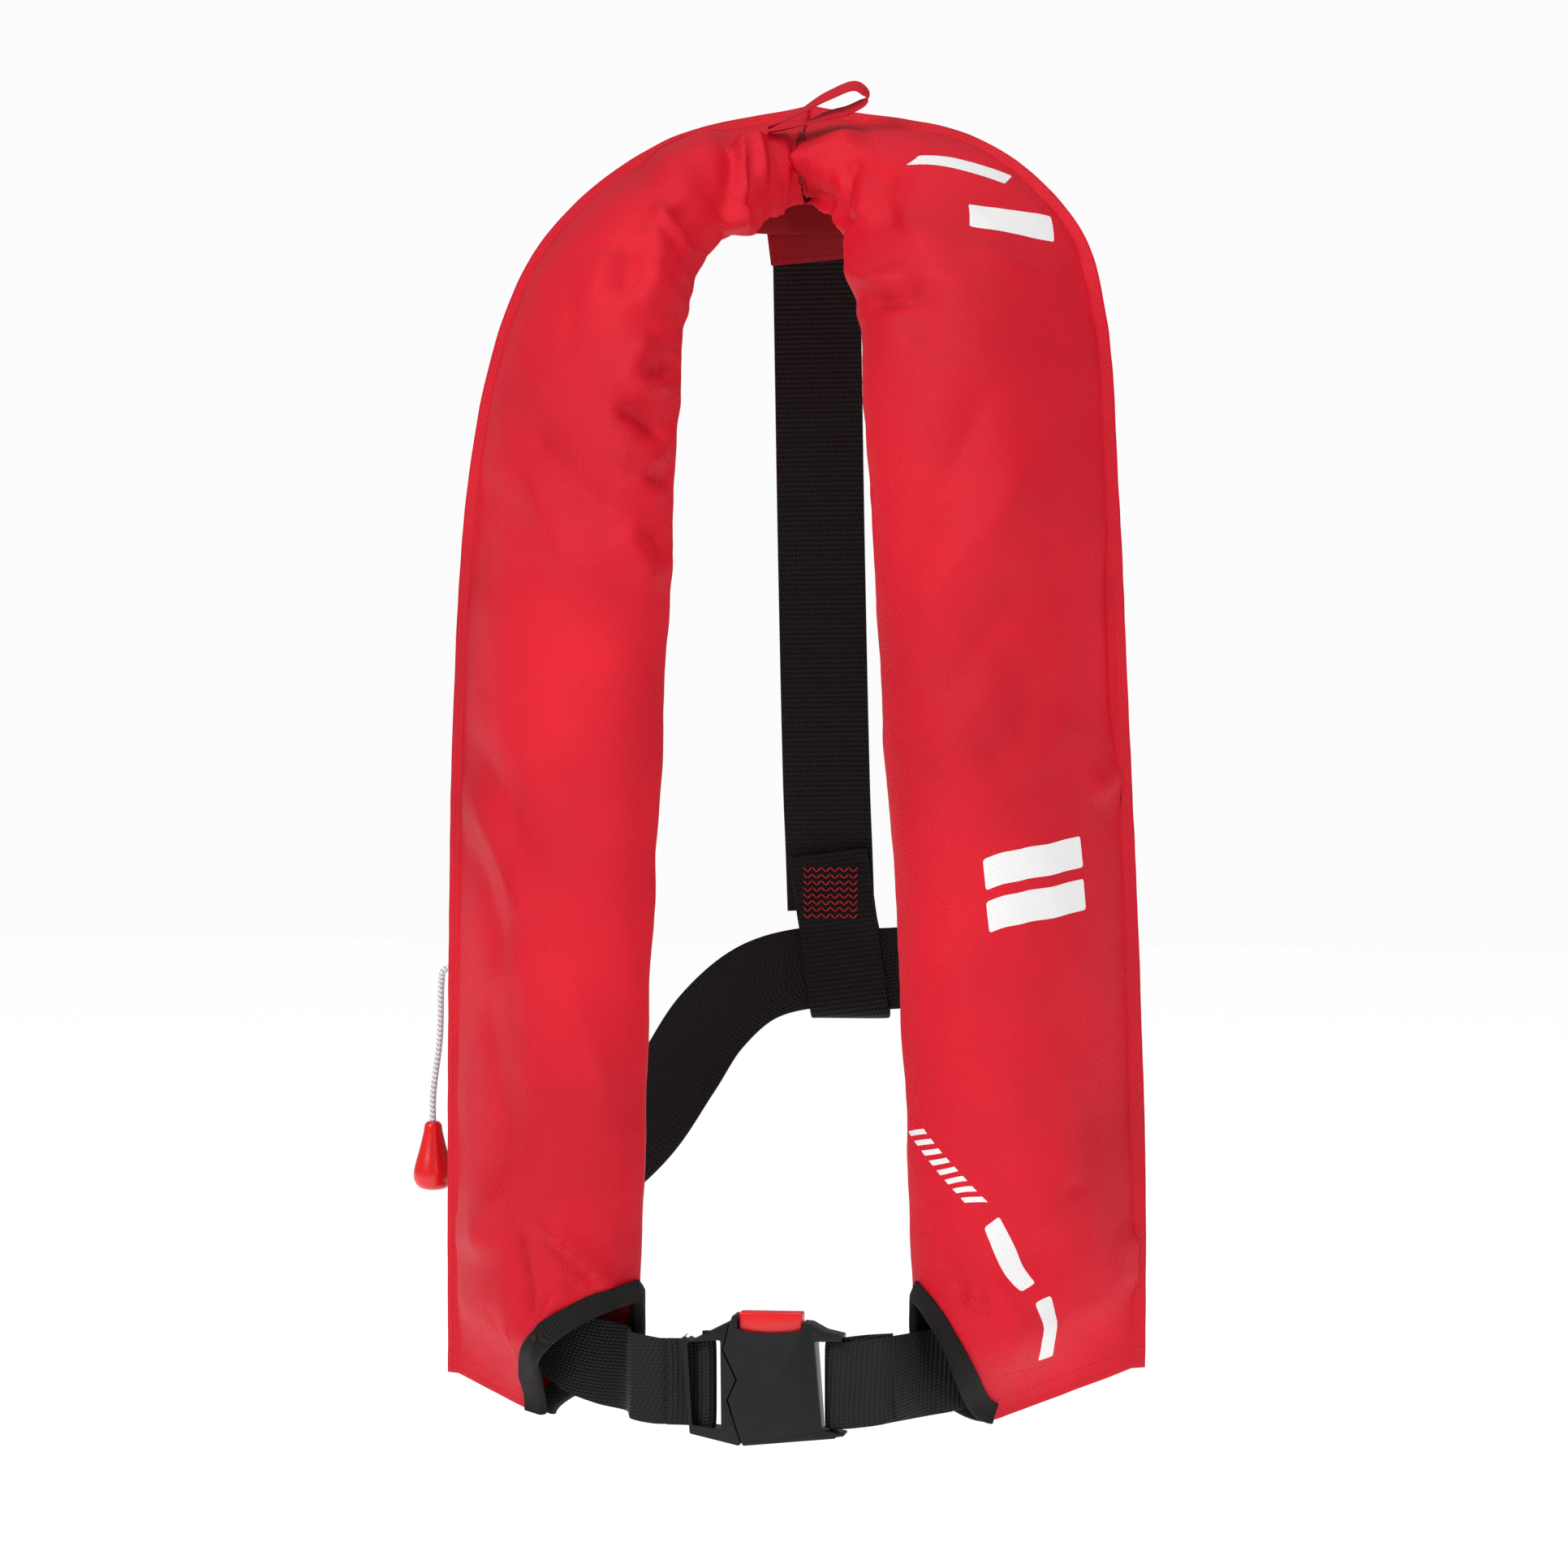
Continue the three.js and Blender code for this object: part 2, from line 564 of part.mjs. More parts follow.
const sensorCap = () =>
  join(
    rodZ(11, BODY_FOOT - 11, BODY_FOOT - GAP, 0, CYLINDER_Y, 24),
    rodZ(6, BODY_FOOT - 14, BODY_FOOT - 10, 0, CYLINDER_Y, 16),
  );

// ---------------------------------------------------------------- pull cord and toggle
const CORD_EXIT = -364; // height at which the cord leaves the cover
const CORD_ROOM = 4.5;
const TOGGLE = { x: -170.4, y: -85, top: -438.6, length: 32.7, radius: 9.5 };
const toggleAt = (z) => V(TOGGLE.x, TOGGLE.y, TOGGLE.top + z);
function cordPath() {
  const inside = (x, y, z) => V(x, y, z).applyMatrix4(INFLATOR);
  const out = (t, mm) => lobePoint(LOBES.left, t, 1 + mm / axesAt(LOBES.left, t).width, 0);
  const [t0, t1] = [timeAt(CORD_EXIT - 2), timeAt(CORD_EXIT)];
  const edge = out(t1, FLANGE);
  return new THREE.CatmullRomCurve3([
    inside(LEVER.x + 0.2, LEVER.y, LEVER.z + LEVER_LENGTH),
    inside(LEVER.x + 12, LEVER.y - 1, LEVER.z + LEVER_LENGTH + 1),
    out(t0, -6), out(t1, 1), edge,
    edge.clone().add(V(-3.6, 1.2, -1.6)), edge.clone().add(V(-5.2, 4.5, -8)),
    V(mix(edge.x, TOGGLE.x, 0.62), mix(edge.y, TOGGLE.y, 0.66), -398),
    toggleAt(12), toggleAt(-7),
  ], false, "centripetal");
}
const circle = (radius, sides) =>
  new THREE.Shape(
    Array.from({ length: sides }, (_, i) => {
      const a = (2 * Math.PI * i) / sides;
      return new THREE.Vector2(radius * Math.cos(a), radius * Math.sin(a));
    }),
  );
const cordAlong = (path, radius, steps) =>
  new THREE.ExtrudeGeometry(circle(radius, 8), { steps, bevelEnabled: false, extrudePath: path });
function toggle() {
  const { length, radius } = TOGGLE;
  const drop = turned([
    [0, -length], [radius * 0.62, -length + 1.2], [radius, -length + 7.5], [radius * 0.96, -length + 12],
    [radius * 0.66, -length + 22], [3.4, -2.5], [2.9, 0], [0, 0],
  ]);
  return cut(drop, rodZ(CORD_RADIUS + GAP, -8, 4, 0, 0, 12)).translate(
    TOGGLE.x, TOGGLE.y, TOGGLE.top);
}

// ---------------------------------------------------------------- oral tube, in the right lobe
const ORAL = seatOn(LOBES.right, -400, 0.45);
const TUBE_Y = 14;
const CAP_DEPTH = 16;
function oralTube() {
  const path = new THREE.CatmullRomCurve3([
    V(0, GAP, 0), V(0, 4, 0), V(0, 8.5, 1.4), V(0, 12.6, 5.5), V(0, TUBE_Y, 12),
    V(0, TUBE_Y, 30), V(0, TUBE_Y, TUBE_LENGTH * 0.6), V(0, TUBE_Y, TUBE_LENGTH),
  ], false, "centripetal");
  const along = (radius) =>
    new THREE.ExtrudeGeometry(circle(radius, 16), { steps: 26, bevelEnabled: false, extrudePath: path });
  const flange = rodY(16, GAP, GAP + 1.8, 0, 0, 24);
  return cut(
    join(flange, along(TUBE_RADIUS)), along(TUBE_BORE - 1.4),
    rodZ(TUBE_BORE, TUBE_LENGTH - 22, TUBE_LENGTH + 2, 0, TUBE_Y, 16),
    rodY(TUBE_BORE - 1.4, -2, 3, 0, 0, 16));
}
const oralValve = () =>
  rodZ(TUBE_BORE - RUNNING_GAP, TUBE_LENGTH - 15, TUBE_LENGTH - 2, 0, TUBE_Y, 16);
const oralCap = () =>
  cut(
    rodZ(TUBE_RADIUS + 2.2, TUBE_LENGTH - CAP_DEPTH, TUBE_LENGTH + 3, 0, TUBE_Y, 20),
    rodZ(TUBE_RADIUS + RUNNING_GAP, TUBE_LENGTH - CAP_DEPTH - 2, TUBE_LENGTH + GAP, 0, TUBE_Y, 16),
  );
function whistle() {
  const clip = rodZ(TUBE_RADIUS + 2.3, 52, 64, 0, TUBE_Y, 20);
  const body = box(TUBE_RADIUS + 0.8, TUBE_RADIUS + 12, TUBE_Y - 5.5, TUBE_Y + 5.5, 40, 88);
  const slot = box(TUBE_RADIUS + 3, TUBE_RADIUS + 14, TUBE_Y - 3.4, TUBE_Y + 3.4, 70, 74);
  const bore = box(TUBE_RADIUS + 3, TUBE_RADIUS + 10, TUBE_Y - 3.4, TUBE_Y + 3.4, 73, 90);
  return cut(
    join(clip, body), slot, bore,
    rodZ(TUBE_RADIUS + RUNNING_GAP, 30, 95, 0, TUBE_Y, 16));
}

// ---------------------------------------------------------------- waist belt
const UP = V(0, 0, 1);
const at = (lobe, z, c, n) => lobePoint(lobe, timeAt(z), c, n);
const BELT_Y = STRAP_Y + STRAP_THICK / 2 + 3 + BELT_THICK / 2; // the belt's plane in the back loop
const BELT_Z = -371;
const backOf = [
  [V(121, -6, -414), UP], [V(92, 16, -386), UP], [V(64, BELT_Y, BELT_Z), UP],
  [V(28, BELT_Y, BELT_Z), UP], [V(-6, BELT_Y, BELT_Z), UP],
  [V(-30, 22, -378), V(-0.22, 0, 0.95)], [V(-50, 8, -396), V(-0.6, 0, 0.78)],
  [V(-64, -9, -420), V(-0.84, 0, 0.52)], [V(-80, -26, -446), V(-0.8, 0, 0.55)],
  [V(-106, -38, -472), V(-0.5, 0.2, 0.8)],
];
// Through the mouth, inside the lobe, and out by the slot in the back panel.
const acrossOf = (lobe, share) => share * (0.45 + 1.1 * lobe.tip);
const insideOf = (lobe) =>
  [[-547, 0.05, 2], [-545, 0.2, 2], [-541, 0.35, 2], [-534, 0.48, 0.5], [-527, 0.6, -7],
    [-519, 0.7, -19]].map(([z, share, n]) => [at(lobe, z, acrossOf(lobe, share), n), UP]);
const EYE_X = BUCKLE.x + 34.5; // webbing bar of the housing
const WRAP_X = BUCKLE.x - 25; // and of the tongue half
const TAIL_Y = BUCKLE.y + 3; // plane in which the webbing leaves the buckle
const WRAP_END = WRAP_X - 19; // where the moving end of the belt begins
// The belt's first knot behind each lobe.
const BELT_OUT = { left: [V(-139, -76, -509), UP], right: [V(148, -92, -513), UP] };
const beltKnots = {
  right: [
    [V(EYE_X + 3, TAIL_Y, BUCKLE.z), UP], [V(EYE_X + 9, TAIL_Y, BUCKLE.z), UP],
    [V(EYE_X + 21, TAIL_Y + 1, BUCKLE.z + 2), UP],
    ...insideOf(LOBES.right), BELT_OUT.right, [V(163, -70, -493), UP],
    [V(156, -40, -457), UP], ...backOf, [V(-130, -54, -496), V(-0.2, 0.2, 0.95)],
    BELT_OUT.left,
    ...insideOf(LOBES.left).slice(4).reverse(),
  ],
  left: [
    ...insideOf(LOBES.left).slice(0, 4).reverse(), [V(WRAP_END - 16, TAIL_Y + 1.5, BUCKLE.z + 2), UP],
    [V(WRAP_END - 5, TAIL_Y, BUCKLE.z), UP], [V(WRAP_END - GAP, TAIL_Y, BUCKLE.z), UP],
  ],
};
// A band of webbing seen along Z, as high as the belt.
function webLoop(x, radius, end) {
  const inner = radius + GAP;
  const outer = inner + BELT_THICK;
  const side = Math.sign(end - x);
  const turn = (points) => (side > 0 ? points : points.reverse());
  const ring = (r, from, to, count) =>
    Array.from({ length: count + 1 }, (_, i) => {
      const a = mix(from, to, i / count);
      return new THREE.Vector2(x + side * r * Math.cos(a), BUCKLE.y + r * Math.sin(a));
    });
  const [y0, y1] = [TAIL_Y - BELT_THICK / 2, TAIL_Y + BELT_THICK / 2];
  const round = ring(outer, Math.asin((y1 - BUCKLE.y) / outer), 2 * Math.PI - 0.5, 20);
  const shape = new THREE.Shape(turn([
    new THREE.Vector2(end, y0), new THREE.Vector2(end, y1), ...round,
    new THREE.Vector2(x + side * (outer + 2.2), y0),
  ]));
  shape.holes.push(new THREE.Path(turn(ring(inner, 0, 2 * Math.PI, 16).slice(0, 16))));
  return new THREE.ExtrudeGeometry(shape, { depth: BELT_WIDTH, steps: 1, bevelEnabled: false })
    .translate(0, 0, BUCKLE.z - BELT_WIDTH / 2);
}
const SLOT_ROOM = 9;
function beltSlot(name) {
  return ribbon(
    [...insideOf(LOBES[name]).slice(3), BELT_OUT[name]],
    BELT_WIDTH + SLOT_ROOM, BELT_THICK + SLOT_ROOM, 12);
}

// ---------------------------------------------------------------- back strap and its loop
const STRAP_TOP = V(-1, STRAP_Y, 9);
const STRAP_END = V(5.5, STRAP_Y, -318);
const LAP_TOP = -316;
const LOOP_HALF = 18.5;
const LOOP_GAP = 1.2; // round the belt
function backLoop() {
  const y0 = STRAP_Y + STRAP_THICK / 2 + GAP;
  const inside = [BELT_Y - BELT_THICK / 2 - LOOP_GAP, BELT_Y + BELT_THICK / 2 + LOOP_GAP];
  const [foot, head] = [BELT_Z - BELT_WIDTH / 2 - LOOP_GAP, BELT_Z + BELT_WIDTH / 2 + LOOP_GAP];
  const outline = [
    [y0, LAP_TOP], [y0, head + 6], [inside[0] - STRAP_THICK, head - 1], [inside[0] - STRAP_THICK, foot + 1],
    [inside[0], foot - STRAP_THICK], [inside[1], foot - STRAP_THICK], [inside[1] + STRAP_THICK, foot + 1],
    [inside[1] + STRAP_THICK, head - 1], [y0 + 2 * STRAP_THICK, head + 6], [y0 + 2 * STRAP_THICK, LAP_TOP],
  ];
  const hole = [[inside[0], foot], [inside[1], foot], [inside[1], head], [inside[0], head]];
  const points = (list) => list.map(([y, z]) => new THREE.Vector2(y, z));
  const shape = new THREE.Shape(points(outline));
  shape.holes.push(new THREE.Path(points(hole)));
  const lean = (p) => 5.5 + (10 * (LAP_TOP - p.z)) / 75; // the loop leans with the strap
  const geometry = new THREE.ExtrudeGeometry(shape, {
    depth: 2 * LOOP_HALF, steps: 1, bevelEnabled: false,
  })
    .applyMatrix4(new THREE.Matrix4().makeBasis(V(0, 1, 0), V(0, 0, 1), V(1, 0, 0)));
  const position = geometry.attributes.position;
  const p = V();
  for (let i = 0; i < position.count; i++) {
    p.fromBufferAttribute(position, i);
    position.setX(i, p.x - LOOP_HALF + lean(p));
  }
  return geometry;
}

// ---------------------------------------------------------------- buckle
const HALF = BUCKLE_THICK / 2;
const LOW = BUCKLE.z - BUCKLE_HEIGHT / 2;
const HIGH = BUCKLE.z + BUCKLE_HEIGHT / 2;
const [FACE, REAR] = [BUCKLE.y - HALF, BUCKLE.y + HALF];
const ROOM = HALF - BUCKLE_WALL; // half of the housing's inner depth
const HALF_TONGUE = TONGUE_HEIGHT / 2;
const LEG = { x0: 1, x1: 12, inner: TONGUE_THICK / 2 + SLIDE_GAP, outer: ROOM - SLIDE_GAP };
const WEB_ROOM = BELT_WIDTH / 2 + 1; // half height of the windows for the webbing
const PART_HIGH = -13.6; // the two halves meet on a slanted line, at the top
const PART_LOW = -7.6; // and at the foot
const CAP = { x0: -9.5, x1: 20, foot: HIGH - 4.2, top: HIGH + 5.4 };
const SHOULDER = CAP.top - 0.6;
const CROSS = LOW + 7; // foot of the button's cross piece
const LEDGE = BUCKLE.z + HALF_TONGUE + SLIDE_GAP + 3;

function buckleHousing() {
  const { x, y, z } = BUCKLE;
  // A shoulder stands on each side of the button, nearly as high as the button's top.
  const shell = plate(
    [[x + PART_HIGH, HIGH - 1], [x + PART_HIGH + 0.6, SHOULDER], [x + CAP.x1 + 4, SHOULDER],
      [x + CAP.x1 + 11, SHOULDER - 3.4], [x + 39.6, HIGH - 6], [x + 39.6, LOW + 1],
      [x + PART_LOW, LOW]], FACE, REAR, 1);
  const window = box(x + 27, x + 44, y - 20, y + 20, z - WEB_ROOM, z + WEB_ROOM);
  const bar = rodZ(BAR_RADIUS, z - WEB_ROOM - 3, z + WEB_ROOM + 3, EYE_X, y, 16);
  const slack = SLIDE_GAP;
  const throat = box(
    x - 20, x + 19, y - TONGUE_THICK / 2 - slack, y + TONGUE_THICK / 2 + slack,
    z - HALF_TONGUE - slack, z + HALF_TONGUE + slack);
  const legs = box(
    x + LEG.x0 - slack, x + LEG.x1 + slack, y - ROOM, y + ROOM, CROSS - BUTTON_TRAVEL - slack, LEDGE + 1);
  const well = box(
    x + CAP.x0 - slack, x + CAP.x1 + slack, y - ROOM, y + ROOM, LEDGE, HIGH + 1);
  const between = box(
    x + CAP.x0 - slack, x + CAP.x1 + slack, y - 20, y + 20, HIGH, CAP.top + 2);
  return join(cut(shell, window, throat, legs, well, between), bar);
}
function buckleButton() {
  const { x, y, z } = BUCKLE;
  const depth = ROOM - SLIDE_GAP;
  const cap = box(x + CAP.x0, x + CAP.x1, y - depth, y + depth, CAP.foot, CAP.top);
  const legs = [-1, 1].map((s) => {
    const [a, b] = [s * LEG.inner, s * LEG.outer].sort((p, q) => p - q);
    return box(x + LEG.x0, x + LEG.x1, y + a, y + b, CROSS, CAP.foot + 1);
  });
  const cross = box(
    x + LEG.x0, x + LEG.x1, y - LEG.outer, y + LEG.outer, CROSS, CROSS + 3);
  return join(cap, ...legs, cross);
}
// The catch rides on the button's cross piece and hooks up into the tongue's notch.
function buckleCatch() {
  const { x, y, z } = BUCKLE;
  const half = LEG.inner - SLIDE_GAP / 2;
  const base = CROSS + 3 + GAP;
  return join(
    box(x + LEG.x0 + 0.4, x + LEG.x1 - 0.4, y - half, y + half, base, base + 1.2),
    box(x + LEG.x0 + 3, x + LEG.x0 + 7, y - half, y + half, base + 1, z - HALF_TONGUE + CATCH_DEPTH));
}
function buckleTongue() {
  const { x, y, z } = BUCKLE;
  const frame = plate(
    [[x - 39.4, HIGH - 2], [x + PART_HIGH - SLIDE_GAP, HIGH], [x + PART_LOW - SLIDE_GAP, LOW],
      [x - 39.4, LOW + 2]], FACE, REAR, 1);
  const window = box(x - 34.4, x - 17, y - 20, y + 20, z - WEB_ROOM, z + WEB_ROOM);
  const rearOfRail = box(x - 45, x - 34, TAIL_Y - 3.2, y + 20, z - WEB_ROOM, z + WEB_ROOM);
  const bar = rodZ(BAR_RADIUS, z - WEB_ROOM - 3, z + WEB_ROOM + 3, WRAP_X, y, 16);
  const tongue = box(
    x - 14, x + 17.5, y - TONGUE_THICK / 2, y + TONGUE_THICK / 2, z - HALF_TONGUE, z + HALF_TONGUE);
  const notch = box(
    x + LEG.x0 + 3 - SLIDE_GAP, x + LEG.x0 + 7 + SLIDE_GAP, y - 9, y + 9,
    z - HALF_TONGUE - 2, z - HALF_TONGUE + CATCH_DEPTH + SLIDE_GAP);
  return cut(join(cut(frame, window, rearOfRail), bar, tongue), notch);
}
class Coil extends THREE.Curve {
  constructor(radius, length, turns) {
    super();
    Object.assign(this, { radius, length, turns });
  }
  getPoint(t, target = V()) {
    const a = 2 * Math.PI * this.turns * t;
    return target.set(this.radius * Math.cos(a), this.radius * Math.sin(a), this.length * t);
  }
}
const SPRING_WIRE = 0.35;
function buttonSpring() {
  const length = CAP.foot - LEDGE - 2 * (SPRING_WIRE + GAP);
  return new THREE.ExtrudeGeometry(circle(SPRING_WIRE, 6), {
    steps: 40, bevelEnabled: false, extrudePath: new Coil(2, length, 3),
  }).translate(BUCKLE.x + 16, BUCKLE.y, LEDGE + SPRING_WIRE + GAP);
}

// ---------------------------------------------------------------- yoke, patch and hang loop
const yoke = () =>
  ribbon(
    [[V(-46, 4, 0), UP], [V(-26, 15, -1), UP], [V(-2, 18.4, -1.5), UP], [V(22, 15.5, -1), UP],
      [V(42, 5, 0), UP]], 22, YOKE_THICK, 14);
const HANG_ROOT = V(-16.5, -18.5, 34);
const PATCH = [STRAP_Y - STRAP_THICK / 2 - GAP - 1.4, STRAP_Y - STRAP_THICK / 2 - GAP];
const strapPatch = () => plate([[-27, 4], [22, 4], [21, -24], [-23, -28]], ...PATCH);
function hangLoop() {
  const knot = (x, y, z) => [HANG_ROOT.clone().add(V(x, y, z)), V(0, 1, 0)];
  return ribbon(
    [knot(0, 0, 0), knot(13, 2, 4.5), knot(27, 6, 9.5), knot(37, 9, 12.5), knot(45, 10, 18),
      knot(40, 9, 23.5), knot(27, 6, 19), knot(12, 2, 10), knot(-1, 0, 3)],
    LOOP_TAPE, 1.2, 44, true);
}

// ---------------------------------------------------------------- assembly
const left = panels.left;
const right = panels.right;
const cord = cordPath();
const cordRoom = cordAlong(cord, CORD_RADIUS + 0.6, 60);
add(jacket, "cover_front_left", cut(left.front, cordRoom), RED_FABRIC);
add(jacket, "cover_front_right", right.front, RED_FABRIC);
add(jacket, "cover_back_left", cut(left.back, cordRoom, beltSlot("left")), RED_LINER);
add(jacket, "cover_back_right", cut(right.back, beltSlot("right")), RED_LINER);
// The left tape stops below and above the pull cord.
const hemOf = (lobe) => timeAt(lobe.cornerHeight);
const [below, above] = [timeAt(CORD_EXIT - CORD_ROOM), timeAt(CORD_EXIT + CORD_ROOM)];
add(jacket, "closure_tape_left_lower", closureTape(LOBES.left, hemOf(LOBES.left), below), BLACK_BINDING);
add(jacket, "closure_tape_left_upper", closureTape(LOBES.left, above, 1), BLACK_BINDING);
add(jacket, "closure_tape_right", closureTape(LOBES.right, hemOf(LOBES.right), 1), BLACK_BINDING);
for (const [name, lobe] of Object.entries(LOBES)) {
  add(jacket, `binding_front_${name}`, lipBinding(lobe, true), BLACK_BINDING);
  add(jacket, `binding_back_${name}`, lipBinding(lobe, false), BLACK_BINDING);
}
add(jacket, "bladder", bladder(), BLADDER_YELLOW);

const inflator = new THREE.Group();
jacket.add(inflator);
add(inflator, "inflator_body", placed(inflatorBody(), INFLATOR), BLACK_PLASTIC);
add(inflator, "inflator_lever", placed(inflatorLever(), INFLATOR), RED_PLASTIC);
add(inflator, "lever_pin", placed(leverPin(), INFLATOR), STEEL);
add(inflator, "bladder_stem", placed(bladderStem(), INFLATOR), BLACK_PLASTIC);
add(inflator, "stem_nut", placed(stemNut(), INFLATOR), BLACK_PLASTIC);
add(inflator, "gas_cylinder", placed(gasCylinder(), INFLATOR), STEEL);
add(inflator, "sensor_cap", placed(sensorCap(), INFLATOR), CLEAR_PLASTIC);
add(inflator, "pull_cord", cordAlong(cord, CORD_RADIUS, 60), WHITE_CORD);
add(inflator, "pull_toggle", toggle(), RED_PLASTIC);

const oral = new THREE.Group();
jacket.add(oral);
add(oral, "oral_tube", placed(oralTube(), ORAL), BLACK_PLASTIC);
add(oral, "oral_valve", placed(oralValve(), ORAL), RED_PLASTIC);
add(oral, "oral_cap", placed(oralCap(), ORAL), BLACK_PLASTIC);
add(oral, "whistle", placed(whistle(), ORAL), WHISTLE_ORANGE);

const harness = new THREE.Group();
jacket.add(harness);
add(harness, "hang_loop", hangLoop(), RED_FABRIC);
add(harness, "neck_yoke", yoke(), RED_LINER);
add(harness, "strap_patch", strapPatch(), RED_FABRIC);
add(harness, "back_strap",
  ribbon([[STRAP_TOP, V(1, 0, 0)], [STRAP_END, V(1, 0, 0)]], STRAP_WIDTH, STRAP_THICK, 8),
  BLACK_WEBBING);
add(harness, "back_loop", backLoop(), BLACK_WEBBING);
add(harness, "waist_belt",
  join(ribbon(beltKnots.right, BELT_WIDTH, BELT_THICK, 125), webLoop(EYE_X, BAR_RADIUS, EYE_X + 4)),
  BLACK_WEBBING);
add(harness, "belt_end_left", ribbon(beltKnots.left, BELT_WIDTH, BELT_THICK, 20), BLACK_WEBBING);
add(harness, "belt_wrap_left", webLoop(WRAP_X, BAR_RADIUS, WRAP_END), BLACK_WEBBING);

const buckle = new THREE.Group();
jacket.add(buckle);
add(buckle, "buckle_housing", buckleHousing(), BLACK_PLASTIC);
add(buckle, "buckle_tongue", buckleTongue(), BLACK_PLASTIC);
add(buckle, "buckle_button", buckleButton(), RED_PLASTIC);
add(buckle, "button_catch", buckleCatch(), STEEL);
add(buckle, "button_spring", buttonSpring(), SPRING_STEEL);

export default jacket;
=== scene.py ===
"""An inflatable life jacket in the shape it has when worn: a red horseshoe cover closed round its
bladder, a back strap, and a black waist belt with a press-button buckle."""
import math

import bmesh
import bpy
import numpy as np
from mathutils import Matrix, Vector, noise


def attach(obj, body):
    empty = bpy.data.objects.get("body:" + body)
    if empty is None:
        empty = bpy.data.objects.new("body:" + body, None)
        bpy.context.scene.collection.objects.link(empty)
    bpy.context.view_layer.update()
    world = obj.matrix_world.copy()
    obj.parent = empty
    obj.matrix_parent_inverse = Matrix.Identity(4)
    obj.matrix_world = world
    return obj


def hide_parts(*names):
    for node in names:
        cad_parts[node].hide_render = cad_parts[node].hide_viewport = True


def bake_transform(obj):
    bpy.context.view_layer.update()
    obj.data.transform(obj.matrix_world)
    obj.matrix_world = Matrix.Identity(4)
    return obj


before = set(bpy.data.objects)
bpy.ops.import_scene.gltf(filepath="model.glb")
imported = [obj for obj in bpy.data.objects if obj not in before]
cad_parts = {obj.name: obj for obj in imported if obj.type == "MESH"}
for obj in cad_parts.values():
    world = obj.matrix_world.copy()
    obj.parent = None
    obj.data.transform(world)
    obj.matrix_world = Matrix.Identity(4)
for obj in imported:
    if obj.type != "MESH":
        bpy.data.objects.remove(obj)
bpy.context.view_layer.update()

MM = 0.001
TURN = 2 * math.pi

# ------------------------------------------------------------------ camera
AIM = Vector((5, -130, -275)) * MM
TURNED, RAISED = math.radians(8), math.radians(2)
DISTANCE = 3.0  # metres from AIM to the camera
BACK = Vector((
    math.sin(TURNED) * math.cos(RAISED), -math.cos(TURNED) * math.cos(RAISED), math.sin(RAISED)))
camera = bpy.data.objects.new("camera", bpy.data.cameras.new("camera"))
camera.data.sensor_width = 36
camera.data.lens = 147.9
camera.location = AIM + DISTANCE * BACK
camera.rotation_euler = (-BACK).to_track_quat("-Z", "Y").to_euler()
bpy.context.collection.objects.link(camera)
bpy.context.scene.camera = camera


# ------------------------------------------------------------------ curves
def smooth(x):
    """A soft step from 0 to 1."""
    x = np.clip(x, 0, 1)
    return x * x * (3 - 2 * x)


def mix(a, b, w):
    """From a at share 0 to b at share 1."""
    return a + (b - a) * w


def with_ends(knots):
    """The knots with one more at each end, straight on from the last two."""
    knots = np.asarray(knots, float)
    return np.vstack([2 * knots[0] - knots[1], knots, 2 * knots[-1] - knots[-2]])


def hermite(b, c, m0, m1, w):
    """The cubic from b to c that leaves along m0 and arrives along m1."""
    return ((2 * w**3 - 3 * w**2 + 1) * b + (w**3 - 2 * w**2 + w) * m0
            + (3 * w**2 - 2 * w**3) * c + (w**3 - w**2) * m1)


def even_curve(knots, t):
    """The curve of the lobe's edges, at shares t, an equal share from knot to knot."""
    ends = with_ends(knots)
    place = np.asarray(t, float) * (len(ends) - 3)
    i = np.clip(np.floor(place).astype(int), 0, len(ends) - 4)
    a, b, c, d = (ends[i + k] for k in range(4))
    return hermite(b, c, (c - a) / 2, (d - b) / 2, (place - i)[..., None])


def laid_curve(knots, t):
    """The curve of webbing and cord, which doesn't overshoot where its knots are uneven."""
    ends = with_ends(knots)
    place = np.asarray(t, float) * (len(ends) - 3)
    i = np.clip(np.floor(place).astype(int), 0, len(ends) - 4)
    a, b, c, d = (ends[i + k] for k in range(4))
    gaps = [np.sqrt(np.linalg.norm(q - p, axis=-1))[..., None] for p, q in ((a, b), (b, c), (c, d))]
    m0 = ((b - a) / gaps[0] - (c - a) / (gaps[0] + gaps[1]) + (c - b) / gaps[1]) * gaps[1]
    m1 = ((c - b) / gaps[1] - (d - b) / (gaps[1] + gaps[2]) + (d - c) / gaps[2]) * gaps[1]
    return hermite(b, c, m0, m1, (place - i)[..., None])


def unit(v):
    """Vectors of length 1."""
    return v / np.maximum(np.linalg.norm(v, axis=-1, keepdims=True), 1e-12)


def run_of(points):
    """The distance along a line of points."""
    return np.concatenate([[0], np.cumsum(np.linalg.norm(np.diff(points, axis=0), axis=1))])


def evenly(points, count):
    """count points at equal distances along a line of points."""
    run = run_of(points)
    at = np.linspace(0, run[-1], count)
    return np.stack([np.interp(at, run, points[:, k]) for k in range(points.shape[1])], axis=1)


# ------------------------------------------------------------------ making pieces
def finished(name, bm, *materials, body="jacket", smooth_angle=math.radians(40)):
    """Turns a bmesh into a piece that rides on a body."""
    mesh = bpy.data.meshes.new(name)
    bm.to_mesh(mesh)
    bm.free()
    for material in materials:
        mesh.materials.append(material)
    piece = bpy.data.objects.new(name, mesh)
    bpy.context.collection.objects.link(piece)
    mesh.shade_smooth()
    if smooth_angle:
        mesh.set_sharp_from_angle(angle=smooth_angle)
    if body:
        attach(piece, body)
    return piece


